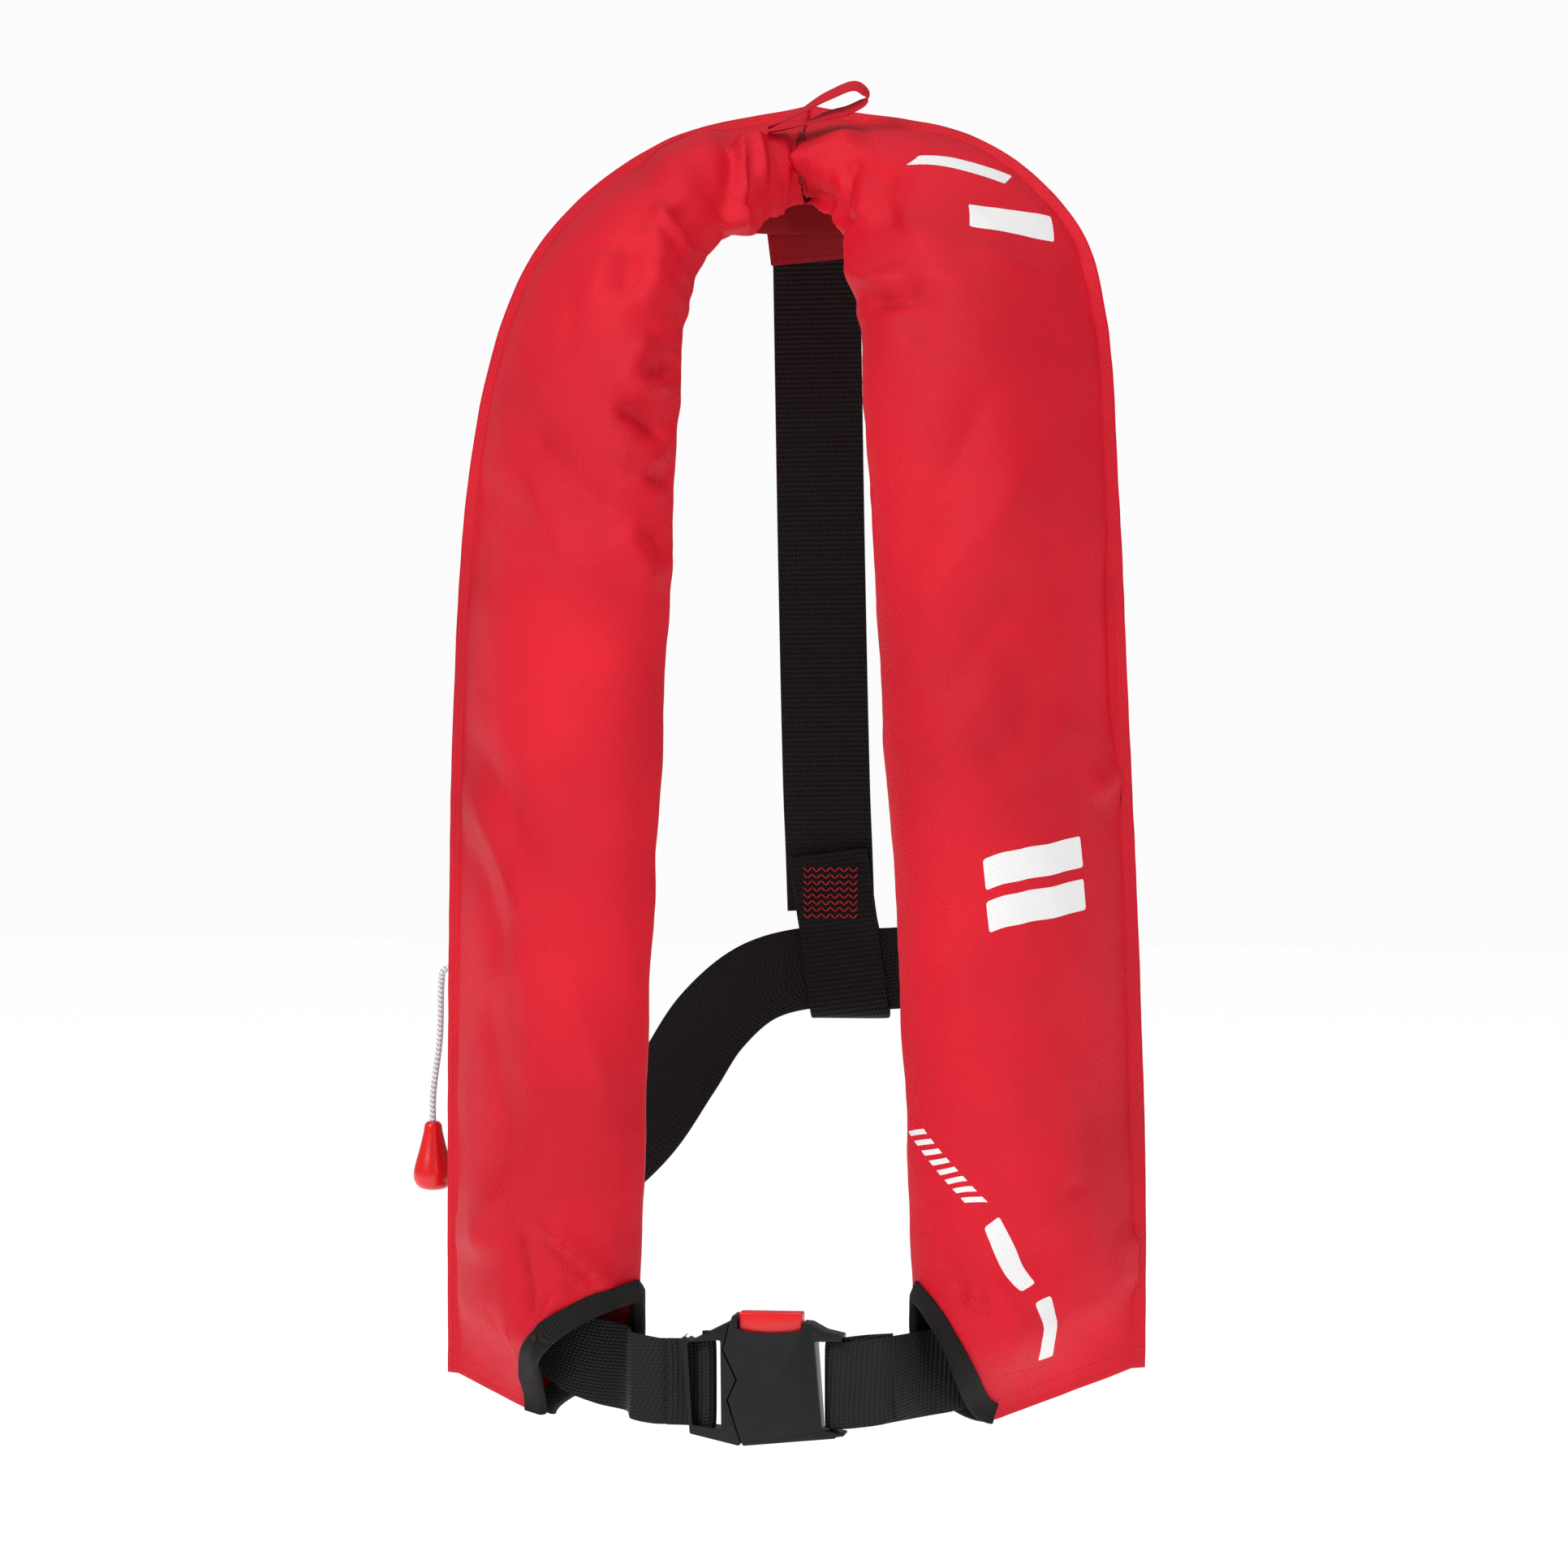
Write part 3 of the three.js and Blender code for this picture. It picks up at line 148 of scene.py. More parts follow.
def threads_over(points):
    """How far each point of a grid lies along its row, and along its column."""
    rows, columns = points.shape[:2]
    across = np.linalg.norm(np.diff(points, axis=1), axis=2)
    along = np.linalg.norm(np.diff(points, axis=0), axis=2)
    return (np.concatenate([np.zeros((rows, 1)), np.cumsum(across, axis=1)], axis=1),
            np.concatenate([np.zeros((1, columns)), np.cumsum(along, axis=0)], axis=0))


def cloth_grid(points, around=False, caps=False, threads=None):
    """A bmesh grid over an array of points in millimetres, rows by columns, with a UV map in metres
    that runs with the threads: across the columns, then along the rows. around welds the last column
    to the first."""
    rows, columns = points.shape[:2]
    u, v = (part * MM for part in (threads or threads_over(points)))
    points = points * MM
    bm = bmesh.new()
    layer = bm.loops.layers.uv.new("threads")
    bmesh.ops.create_grid(bm, x_segments=columns - 1, y_segments=rows - 1, size=0.5)
    bm.verts.ensure_lookup_table()
    at = {vert: (round((vert.co.y + 0.5) * (rows - 1)), round((vert.co.x + 0.5) * (columns - 1)))
          for vert in bm.verts}
    for face in bm.faces:
        for loop in face.loops:
            loop[layer].uv = (u[at[loop.vert]], v[at[loop.vert]])
    for vert, place in at.items():
        vert.co = points[place]
    if around:
        bmesh.ops.remove_doubles(bm, verts=bm.verts, dist=1e-6)
    if caps:
        bmesh.ops.holes_fill(bm, edges=[e for e in bm.edges if e.is_boundary], sides=0)
    return bm


def outward(bm):
    """Turns the faces of a closed shape outwards."""
    bmesh.ops.recalc_face_normals(bm, faces=bm.faces)
    if bm.calc_volume(signed=True) < 0:
        bmesh.ops.reverse_faces(bm, faces=bm.faces)
    return bm


def axes_along(points, width_ways):
    """Width and face directions along a line of points."""
    tangent = unit(np.gradient(points, axis=0))
    side = unit(width_ways - (width_ways * tangent).sum(1, keepdims=True) * tangent)
    return side, unit(np.cross(tangent, side))


def webbing(name, knots, width, thickness, material, body="jacket", step=1.6):
    """A flat strap with round edges along knots: each a point, and the way its width lies."""
    t = np.linspace(0, 1, 40 * len(knots))
    both = np.hstack([laid_curve([k[0] for k in knots], t), even_curve([k[1] for k in knots], t)])
    run = run_of(both[:, :3])
    at = np.linspace(0, run[-1], max(8, round(run[-1] / step)))
    both = np.stack([np.interp(at, run, both[:, k]) for k in range(6)], axis=1)
    points, ways = both[:, :3], both[:, 3:]
    side, face = axes_along(points, ways)
    angle = np.linspace(0, TURN, 29)
    # A flat section with round edges: most of its points lie on the two faces.
    across = np.sign(np.cos(angle)) * np.abs(np.cos(angle)) ** 0.55
    deep = np.sign(np.sin(angle)) * np.abs(np.sin(angle)) ** 0.35
    grid = (points[:, None, :] + side[:, None, :] * (across[None, :, None] * (width / 2))
            + face[:, None, :] * deep[None, :, None] * thickness / 2)
    bm = cloth_grid(grid, around=True, caps=True)
    return finished(name, outward(bm), material, body=body)


def tube(name, path, radius, material, sides=8, body="jacket"):
    """A round tube along points in millimetres, closed at its ends."""
    points = np.asarray(path, float)
    tangent = unit(np.gradient(points, axis=0))
    way = np.array([0.31, 0.95, 0.05])
    side = np.empty_like(points)
    for i, along in enumerate(tangent):
        way = way - way.dot(along) * along
        way /= np.linalg.norm(way)
        side[i] = way
    other = np.cross(tangent, side)
    angle = np.linspace(0, TURN, sides + 1)
    ring = (side[:, None, :] * np.cos(angle)[None, :, None]
            + other[:, None, :] * np.sin(angle)[None, :, None])
    bm = cloth_grid(points[:, None, :] + ring * radius, around=True, caps=True)
    return finished(name, outward(bm), material, body=body)


CORNER_STEPS = 5


def rounded(corners, radii):
    """An outline through corners, each rounded to its own radius."""
    outline = []
    for i, corner in enumerate(corners):
        here = Vector(corner)
        before = (Vector(corners[i - 1]) - here).normalized()
        after = (Vector(corners[(i + 1) % len(corners)]) - here).normalized()
        half = before.angle(after) / 2
        radius = radii[i]
        if radius < 0.05:
            outline.append(corner)
            continue
        reach = radius / math.tan(half)
        centre = here + (before + after).normalized() * radius / math.sin(half)
        first, last = here + before * reach - centre, here + after * reach - centre
        for k in range(CORNER_STEPS + 1):
            way = first.slerp(last, k / CORNER_STEPS) if first.angle(last) < 3.1 else first
            outline.append(tuple(centre + way))
    return outline


def slab(bm, outline, y0, y1):
    """An outline in X and Z made a solid from y0 to y1, in millimetres."""
    corners = [bm.verts.new(Vector((x, y0, z)) * MM) for x, z in outline]
    face = bm.faces.new(corners)
    deep = bmesh.ops.extrude_face_region(bm, geom=[face])
    moved = [g for g in deep["geom"] if isinstance(g, bmesh.types.BMVert)]
    bmesh.ops.translate(bm, verts=moved, vec=Vector((0, y1 - y0, 0)) * MM)
    bmesh.ops.recalc_face_normals(bm, faces=bm.faces)
    return bm


def soften(bm, width, segments=3, sharper_than=35):
    """Rounds the edges that are sharper than an angle."""
    edges = [e for e in bm.edges if e.is_manifold
             and e.calc_face_angle(0) > math.radians(sharper_than)]
    bmesh.ops.bevel(bm, geom=edges, offset=width * MM, offset_type="OFFSET", affect="EDGES",
                    segments=segments, profile=0.5, material=-1, clamp_overlap=True)
    return bm


def combine(piece, operation, *tools):
    """Cuts tools out of a piece, or joins them to it, and removes them."""
    for tool in tools:
        modifier = piece.modifiers.new("combine", "BOOLEAN")
        modifier.object, modifier.operation, modifier.solver = tool, operation, "EXACT"
        ready = piece.evaluated_get(bpy.context.evaluated_depsgraph_get())
        mesh = bpy.data.meshes.new_from_object(ready)
        piece.modifiers.clear()
        piece.data = mesh
        bpy.data.objects.remove(tool)
    piece.data.shade_smooth()
    piece.data.set_sharp_from_angle(angle=math.radians(40))
    return piece


def slab_tool(outline, y0, y1):
    """A plain slab to cut or join with."""
    return finished("tool", slab(bmesh.new(), outline, y0, y1), body=None, smooth_angle=0)


def block(x0, x1, y0, y1, z0, z1):
    """A plain box to cut with."""
    return slab_tool([(x0, z0), (x1, z0), (x1, z1), (x0, z1)], y0, y1)


def from_cad(node, material, bevel, body, segments):
    """A copy of a CAD node with its edges rounded, which replaces the node."""
    bm = bmesh.new()
    bm.from_mesh(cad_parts[node].data)
    bmesh.ops.remove_doubles(bm, verts=bm.verts, dist=2e-5)
    bmesh.ops.dissolve_limit(bm, angle_limit=math.radians(1), verts=bm.verts, edges=bm.edges)
    soften(bm, bevel, segments, 34)
    piece = finished(node + "_moulded", bm, material, body=body)
    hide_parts(node)
    return piece


# ------------------------------------------------------------------ finishes
def linear(colour):
    """An sRGB hex colour as the linear RGBA that shaders take."""
    parts = [int(colour[k:k + 2], 16) / 255 for k in (1, 3, 5)]
    return tuple(c / 12.92 if c <= 0.04045 else ((c + 0.055) / 1.055) ** 2.4 for c in parts) + (1,)


def add_node(tree, kind, inputs=None, **settings):
    """A node with its settings; each input is given a value, or an output to be linked to."""
    made = tree.nodes.new(kind)
    for key, value in settings.items():
        setattr(made, key, value)
    for key, value in (inputs or {}).items():
        if isinstance(value, bpy.types.NodeSocket):
            tree.links.new(value, made.inputs[key])
        else:
            made.inputs[key].default_value = value
    return made


def new_finish(name, colour, roughness, **values):
    """A material, its tree and its shader, with the values that are the same all over it."""
    material = bpy.data.materials.new(name)
    material.use_nodes = True
    shader = material.node_tree.nodes["Principled BSDF"]
    shader.inputs["Base Color"].default_value = linear(colour)
    shader.inputs["Roughness"].default_value = roughness
    for key, value in values.items():
        shader.inputs[key.replace("_", " ")].default_value = value
    return material, material.node_tree, shader


def calc(tree, operation, a, b=0.0, c=0.0):
    """One sum on two or three values; MULTIPLY_ADD is a times b plus c."""
    return add_node(tree, "ShaderNodeMath", {0: a, 1: b, 2: c}, operation=operation).outputs[0]


def place_on(tree, source="threads"):
    """Where a pattern is read: the piece's own threads, or its place in the jacket."""
    if source == "threads":
        return add_node(tree, "ShaderNodeUVMap", uv_map="threads").outputs[0]
    return add_node(tree, "ShaderNodeTexCoord").outputs["Object"]


def tinted(tree, shader, share, stops, colours):
    """Colours a shader from one colour to another as a share climbs between two stops."""
    ramp = add_node(tree, "ShaderNodeValToRGB", {"Fac": share})
    for stop, at, colour in zip(ramp.color_ramp.elements, stops, colours):
        stop.position, stop.color = at, linear(colour)
    tree.links.new(ramp.outputs["Color"], shader.inputs["Base Color"])
    return ramp.outputs["Color"]


def two_tones(tree, shader, where, colours, scale):
    """Soft blotches between two near colours, as dye and handling leave."""
    cloud = add_node(tree, "ShaderNodeTexNoise", {"Vector": where, "Scale": scale, "Detail": 3.0})
    return tinted(tree, shader, cloud.outputs["Fac"], (0.35, 0.65), colours)


def ribs(tree, coordinate, pitch):
    """A sine wave from -1 to 1 along a coordinate, one wave to each pitch in metres."""
    return calc(tree, "SINE", calc(tree, "MULTIPLY", coordinate, TURN / pitch))


def threads_of(tree, across, along, pitch):
    """Plain weave: warp and weft pass over each other in turn, as a height from -1 to 1."""
    return calc(tree, "MULTIPLY", ribs(tree, across, pitch), ribs(tree, along, pitch))


def bump_from(tree, shader, height, strength, distance, under=None):
    """Tilts the light on a surface by a height, on top of another bump if there is one."""
    inputs = {"Height": height, "Strength": strength, "Distance": distance}
    if under is not None:
        inputs["Normal"] = under
    made = add_node(tree, "ShaderNodeBump", inputs)
    tree.links.new(made.outputs["Normal"], shader.inputs["Normal"])
    return made.outputs["Normal"]


def split(tree, vector):
    """The first two parts of a vector."""
    made = add_node(tree, "ShaderNodeSeparateXYZ", {0: vector})
    return made.outputs[0], made.outputs[1]


# The real cloth has a thread every 0.75 mm. It is drawn at 1.45 mm, the finest that shows.
CLOTH_PITCH = 1.45 * MM


def oxford_polyester(name, light, dark, prints=()):
    """Woven 600-denier polyester with a coated back: a dense plain weave whose threads each catch
    the light, with a soft, slightly waxy gloss. prints are plain white ink shapes on it."""
    material, tree, shader = new_finish(name, light, 0.5, IOR=1.5, Specular_IOR_Level=0.26)
    where = place_on(tree)
    u, v = split(tree, where)
    weave = threads_of(tree, u, v, CLOTH_PITCH)
    colour = two_tones(tree, shader, place_on(tree, "piece"), (dark, light), 9.0)
    # Threads that lie lower are a little darker, as their sides shade each other.
    shade = calc(tree, "MULTIPLY_ADD", weave, -0.07, 0.07)
    colour = add_node(tree, "ShaderNodeMix", {0: shade, 6: colour, 7: linear("#300006")},
                      data_type="RGBA").outputs[2]
    ink = None
    for shape in prints:
        mask = ink_shape(tree, where, *shape)
        ink = mask if ink is None else calc(tree, "MAXIMUM", ink, mask)
    if ink is not None:
        colour = add_node(tree, "ShaderNodeMix", {0: ink, 6: colour, 7: linear("#eceaea")},
                          data_type="RGBA").outputs[2]
    tree.links.new(colour, shader.inputs["Base Color"])
    slubs = add_node(tree, "ShaderNodeTexNoise", {"Vector": where, "Scale": 420.0, "Detail": 2.0})
    rough = calc(tree, "MULTIPLY_ADD", slubs.outputs["Fac"], 0.16, 0.47)
    tree.links.new(rough, shader.inputs["Roughness"])
    coarse = bump_from(tree, shader, slubs.outputs["Fac"], 0.12, 0.4 * MM)
    bump_from(tree, shader, weave, 0.45, 0.25 * MM, coarse)
    return material


def ink_shape(tree, where, centre, size, turned=0.0, lean=0.0, bars=0, radius=1.5):
    """A mask of one printed shape, in millimetres on the cloth: a rectangle with round corners whose
    sides may lean, or a row of bars across it."""
    moved = add_node(tree, "ShaderNodeMapping",
                     {"Vector": where, "Location": (centre[0] * MM, centre[1] * MM, 0),
                      "Rotation": (0, 0, math.radians(turned))}, vector_type="TEXTURE")
    x, y = split(tree, moved.outputs[0])
    x = calc(tree, "MULTIPLY_ADD", y, lean, x)
    far = [calc(tree, "MAXIMUM", calc(tree, "SUBTRACT", calc(tree, "ABSOLUTE", axis),
                                      (length / 2 - radius) * MM), 0.0)
           for axis, length in ((x, size[0]), (y, size[1]))]
    gap = calc(tree, "SQRT", calc(tree, "ADD", calc(tree, "POWER", far[0], 2.0),
                                  calc(tree, "POWER", far[1], 2.0)))
    mask = calc(tree, "LESS_THAN", gap, radius * MM)
    if bars:
        share = calc(tree, "FRACT", calc(tree, "MULTIPLY_ADD", y, bars / (size[1] * MM), bars / 2))
        mask = calc(tree, "MULTIPLY", mask, calc(tree, "LESS_THAN", share, 0.5))
    return mask


def belt_webbing():
    """Heavy polyester webbing: black yarns in steep rows of small slanted knots across the belt,
    matt, with a faint shader sheen on each knot, and painted highlight and shade by knot height."""
    material, tree, shader = new_finish("polyester_webbing", "#0d0d0f", 0.6, IOR=1.5,
                                        Specular_IOR_Level=0.22, Sheen_Weight=0.03,
                                        Sheen_Roughness=0.5)
    u, v = split(tree, place_on(tree))
    # Yarns cross the belt every 2.4 mm, and each shows as a row of 1.7 mm knots, half out of step.
    row = ribs(tree, v, 2.4 * MM)
    step = calc(tree, "MULTIPLY", calc(tree, "SIGN", ribs(tree, v, 4.8 * MM)), 0.42 * MM)
    slanted = calc(tree, "ADD", calc(tree, "MULTIPLY_ADD", v, 0.5, u), step)
    knot = ribs(tree, slanted, 1.7 * MM)
    height = calc(tree, "ADD", calc(tree, "MULTIPLY", row, 0.45), calc(tree, "MULTIPLY", knot, 0.55))
    # Painted shade and highlight: the colour runs from near black low in the weave to dark grey on
    # the knots' tops.
    painted_light_share = calc(tree, "MULTIPLY_ADD", height, 0.5, 0.5)
    tinted(tree, shader, painted_light_share, (0.15, 0.95), ("#040405", "#1f1f22"))
    bump_from(tree, shader, height, 0.7, 0.5 * MM)
    return material


def binding_tape():
    """Folded grosgrain tape: black, with fine slanted ribs, and a little browner than webbing."""
    material, tree, shader = new_finish("grosgrain_tape", "#100f0e", 0.68, IOR=1.5,
                                        Specular_IOR_Level=0.18)
    u, v = split(tree, place_on(tree))
    rib = ribs(tree, calc(tree, "MULTIPLY_ADD", u, 0.8, v), 1.6 * MM)
    fine = ribs(tree, calc(tree, "MULTIPLY_ADD", v, -0.6, u), 1.3 * MM)
    height = calc(tree, "MULTIPLY_ADD", fine, 0.35, rib)
    # Painted shade and highlight: the colour runs from near black in the grooves to dark brown-grey
    # on the ribs.
    painted_light_share = calc(tree, "MULTIPLY_ADD", height, 0.4, 0.5)
    tinted(tree, shader, painted_light_share, (0.1, 0.95), ("#060505", "#211f1d"))
    bump_from(tree, shader, height, 0.55, 0.35 * MM)
    return material


def moulded_plastic(name, colours, roughness, grain, depth, **values):
    """Injection-moulded plastic: an even colour, a fine spark-eroded grain that breaks up its
    gloss, and rubbed patches that shine a little more."""
    material, tree, shader = new_finish(name, colours[0], roughness, **values)
    where = place_on(tree, "piece")
    two_tones(tree, shader, where, colours, 60.0)
    speckle = add_node(tree, "ShaderNodeTexNoise",
                       {"Vector": where, "Scale": 1 / (grain * MM), "Detail": 2.0})
    patch = add_node(tree, "ShaderNodeTexNoise", {"Vector": where, "Scale": 45.0, "Detail": 3.0})
    tree.links.new(calc(tree, "MULTIPLY_ADD", patch.outputs["Fac"], 0.16, roughness - 0.08),
                   shader.inputs["Roughness"])
    bump_from(tree, shader, speckle.outputs["Fac"], 0.35, depth * MM)
    return material


def braided_polyester():
    """Braided cord: bright white strands that cross in a diamond pattern, soft and matt."""
    material, tree, shader = new_finish("braided_polyester", "#e6e8ec", 0.6, IOR=1.5,
                                        Sheen_Weight=0.2)
    u, v = split(tree, place_on(tree))
    # Eight strands go each way round a 3 mm cord; four show, 2.4 mm long, so that each can be seen.
    strand = 2.36 * MM
    one = ribs(tree, calc(tree, "ADD", u, v), strand)
    other = ribs(tree, calc(tree, "SUBTRACT", u, v), strand)
    height = calc(tree, "MAXIMUM", one, other)
    # Painted shade and highlight: the strands are grey where they dip and near white where they stand
    # highest.
    painted_light_share = calc(tree, "MULTIPLY_ADD", height, 0.5, 0.5)
    tinted(tree, shader, painted_light_share, (0.2, 0.8), ("#8f9297", "#f1f2f4"))
    bump_from(tree, shader, height, 0.6, 0.5 * MM)
    return material


def sewing_thread(name, colour):
    """Bonded polyester thread: a tight, slightly glossy twist."""
    material, tree, shader = new_finish(name, colour, 0.5, IOR=1.5, Sheen_Weight=0.1)
    where = place_on(tree, "piece")
    x, y, z = add_node(tree, "ShaderNodeSeparateXYZ", {0: where}).outputs
    twist = ribs(tree, calc(tree, "ADD", calc(tree, "ADD", x, y), z), 0.5 * MM)
    bump_from(tree, shader, twist, 0.4, 0.1 * MM)
    return material


def metal(name, colour, roughness, stretch):
    """Plated or drawn steel: bright metal with fine lines along the way that it was worked."""
    material, tree, shader = new_finish(name, colour, roughness, Metallic=1.0)
    moved = add_node(tree, "ShaderNodeMapping", {"Vector": place_on(tree, "piece"), "Scale": stretch})
    lines = add_node(tree, "ShaderNodeTexNoise", {"Vector": moved.outputs[0], "Scale": 900.0,
                                                  "Detail": 2.0})
    tree.links.new(calc(tree, "MULTIPLY_ADD", lines.outputs["Fac"], 0.2, roughness - 0.1),
                   shader.inputs["Roughness"])
    bump_from(tree, shader, lines.outputs["Fac"], 0.15, 0.05 * MM)
    return material


RED_LIGHT, RED_DARK = "#dc0826", "#c70420"
LINER = oxford_polyester("oxford_polyester_inside", "#9e0b1d", "#8c0a19")
YELLOW = oxford_polyester("coated_nylon_yellow", "#e3c21f", "#d4b012")
WEBBING = belt_webbing()
TAPE = binding_tape()
# Acetal: dense black plastic, half matt from its grained mould.
ACETAL = moulded_plastic("acetal_black", ("#0c0d0e", "#121315"), 0.4, 0.5, 0.05, IOR=1.48,
                         Specular_IOR_Level=0.3)
# ABS: bright red plastic, nearly glossy.
ABS_RED = moulded_plastic("abs_red", ("#e4161b", "#d91218"), 0.28, 0.9, 0.03, IOR=1.53)
POLYPROPYLENE = moulded_plastic("polypropylene_orange", ("#ee6a1c", "#e66014"), 0.4, 0.6, 0.04)
POLYCARBONATE = moulded_plastic("polycarbonate_clear", ("#dfe4e8", "#d2d9de"), 0.2, 0.9, 0.02,
                                IOR=1.58, Transmission_Weight=0.6)
ZINC = metal("zinc_plated_steel", "#a9adb1", 0.34, (1, 1, 0.05))
SPRING = metal("spring_steel", "#b9bcc0", 0.3, (1, 1, 1))
BRAID = braided_polyester()
RED_THREAD = sewing_thread("polyester_thread_red", "#c30f27")
BRIGHT_THREAD = sewing_thread("polyester_thread_scarlet", "#e02436")


# ------------------------------------------------------------------ the pull cord
CORD_KNOTS = [
    (-117.15, -135.22, -368), (-127.2, -128.95, -367), (-147.5, -105.88, -366),
    (-153.71, -102.71, -364), (-159.05, -99.98, -364), (-162.65, -98.78, -365.6),
    (-164.25, -95.48, -372), (-166.09, -90.09, -398), (-170.4, -85, -426.6), (-170.4, -85, -445.6)]
CORD_LENGTH, CORD_WIDE = 142.7, 3.0
cord_line = laid_curve(CORD_KNOTS, np.linspace(0, 1, 181))
pull_cord = tube("pull_cord_braid", evenly(cord_line, 110), CORD_WIDE / 2, BRAID, sides=12, body=None)
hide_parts("pull_cord")
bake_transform(pull_cord)


# ------------------------------------------------------------------ the shape of the lobes
COVER_FOOT, COVER_REACH, STATIONS = -580, 110, 8
WALL, FLANGE, LAYER, RIM = 1.4, 7, 2.1, 1.5
LOBES = {
    "left": dict(
        sign=-1, tip=0.5, corner=-557, tip_height=-573, mouth=-514, sweep=0.57, mouth_puff=0.45,
        inner=[(-62, -146, -580), (-60, -150, -470), (-55, -153, -360), (-50, -151, -250),
               (-46, -141, -140), (-46, -116, -68), (-41, -72, -26), (-24, -31, -6), (-2, -10, 2)],
        outer=[(-161, -93, -580), (-160, -98, -470), (-159, -100, -360), (-157, -99, -250),
               (-152, -90, -140), (-140, -66, -60), (-117, -36, -8), (-70, 4, 33), (-4, 26, 50)]),
    "right": dict(
        sign=1, tip=0.34, corner=-549, tip_height=-570, mouth=-512, sweep=1.9, mouth_puff=0.3,
        inner=[(70, -146, -580), (66, -150, -470), (62, -153, -360), (55, -151, -250),
               (47, -141, -140), (40, -116, -70), (30, -74, -29), (15, -32, -7), (-2, -10, 2)],
        outer=[(170, -93, -580), (171, -98, -470), (168, -100, -360), (163, -99, -250),
               (157, -89, -140), (149, -64, -58), (130, -35, -8), (78, 5, 33), (-4, 26, 50)]),
}
BACK_LIP = 26
ROLL = 0.5  # radians of the inner edge over which the front lip gives way to the back lip


def hump(c, p, q):
    """A bulge over 0 to 1 whose top has height 1. The smaller p or q, the blunter that end."""
    top = p / (p + q)
    return c**p * (1 - c) ** q / (top**p * (1 - top) ** q)


def axes_at(lobe, t):
    """The inner edge at t, the way across to the outer edge, that width, and the way forward."""
    inner, outer = even_curve(lobe["inner"], t), even_curve(lobe["outer"], t)
    chord = outer - inner
    width = np.linalg.norm(chord, axis=-1) - FLANGE
    chord = unit(chord)
    low, high = np.clip(t - 1e-4, 0, 1), np.clip(t + 1e-4, 0, 1)
    along = (unit(even_curve(lobe["inner"], high) - even_curve(lobe["inner"], low))
             + unit(even_curve(lobe["outer"], high) - even_curve(lobe["outer"], low)))
    along = unit(along - (along * chord).sum(-1, keepdims=True) * chord)
    nape = np.array([-lobe["sign"], 0.0, 0.0])
    nape = unit(nape - (chord @ nape)[..., None] * chord)
    along = unit(mix(along, nape, smooth((t - 0.985) / 0.015)[..., None]))
    return inner, chord, width, unit(np.cross(along, chord)) * -lobe["sign"]


def time_at(z):
    """The t of a height on the straight part of a lobe."""
    return (z - COVER_FOOT) / COVER_REACH / STATIONS


def foot_height(lobe, c, lip):
    """Height of the cloth's lower edge at share c: the hem, then the lip of the mouth."""
    share = np.clip(c, 0, 1)
    hem = mix(lobe["tip_height"], lobe["corner"], (share - lobe["tip"]) / (1 - lobe["tip"]))
    mouth = lobe["tip_height"] + lip * np.clip(1 - share / lobe["tip"], 0, 1) ** lobe["sweep"]
    return np.where(share >= lobe["tip"], hem, mouth)


def puff(lobe, t, c):
    """How full the lobe is: nearly flat at the hem, held open at the mouth, and full above."""
    above = (t - time_at(foot_height(lobe, c, 0))) * STATIONS * COVER_REACH
    start = mix(0.12, lobe["mouth_puff"], smooth((lobe["tip"] - c) / lobe["tip"]))
    return mix(start, 1, smooth(above / 45))


def share_of(angle):
    """The share of the lobe's width at an angle round it."""
    return 0.5 + 0.5 * np.cos(np.clip(angle, 0, TURN))


def plain_point(lobe, t, angle):
    """The smooth shape of a lobe. The angle runs from 0 at the flange over the front to PI at the
    inner roll and 2 PI at the flange again; under 0 and over 2 PI lies the flange, 1 wide."""
    t, angle = np.broadcast_arrays(np.asarray(t, float), np.asarray(angle, float))
    inner, chord, width, front = axes_at(lobe, t)
    c = share_of(angle)
    collar = smooth((t * STATIONS - 4) / 3.5)
    full = puff(lobe, t, c)
    fore = mix(38, 18, collar) * full * hump(c, 0.5, 0.92)
    aft = -mix(16, 12, collar) * full * hump(c, 0.5, 0.6)
    side = np.where(angle <= math.pi, 1.0, -1.0)
    out = np.clip(np.maximum(-angle, angle - TURN), 0, 1.2)
    lay = mix(LAYER, RIM, np.clip(out, 0, 1)) * (1 - smooth((out - 1) / 0.2))
    n = np.where(side > 0, fore, aft) + side * lay * np.where(out > 0, 1, c**2)
    across = c * width + np.clip(out, 0, 1.05) * FLANGE
    return inner + chord * across[..., None] + front * n[..., None]


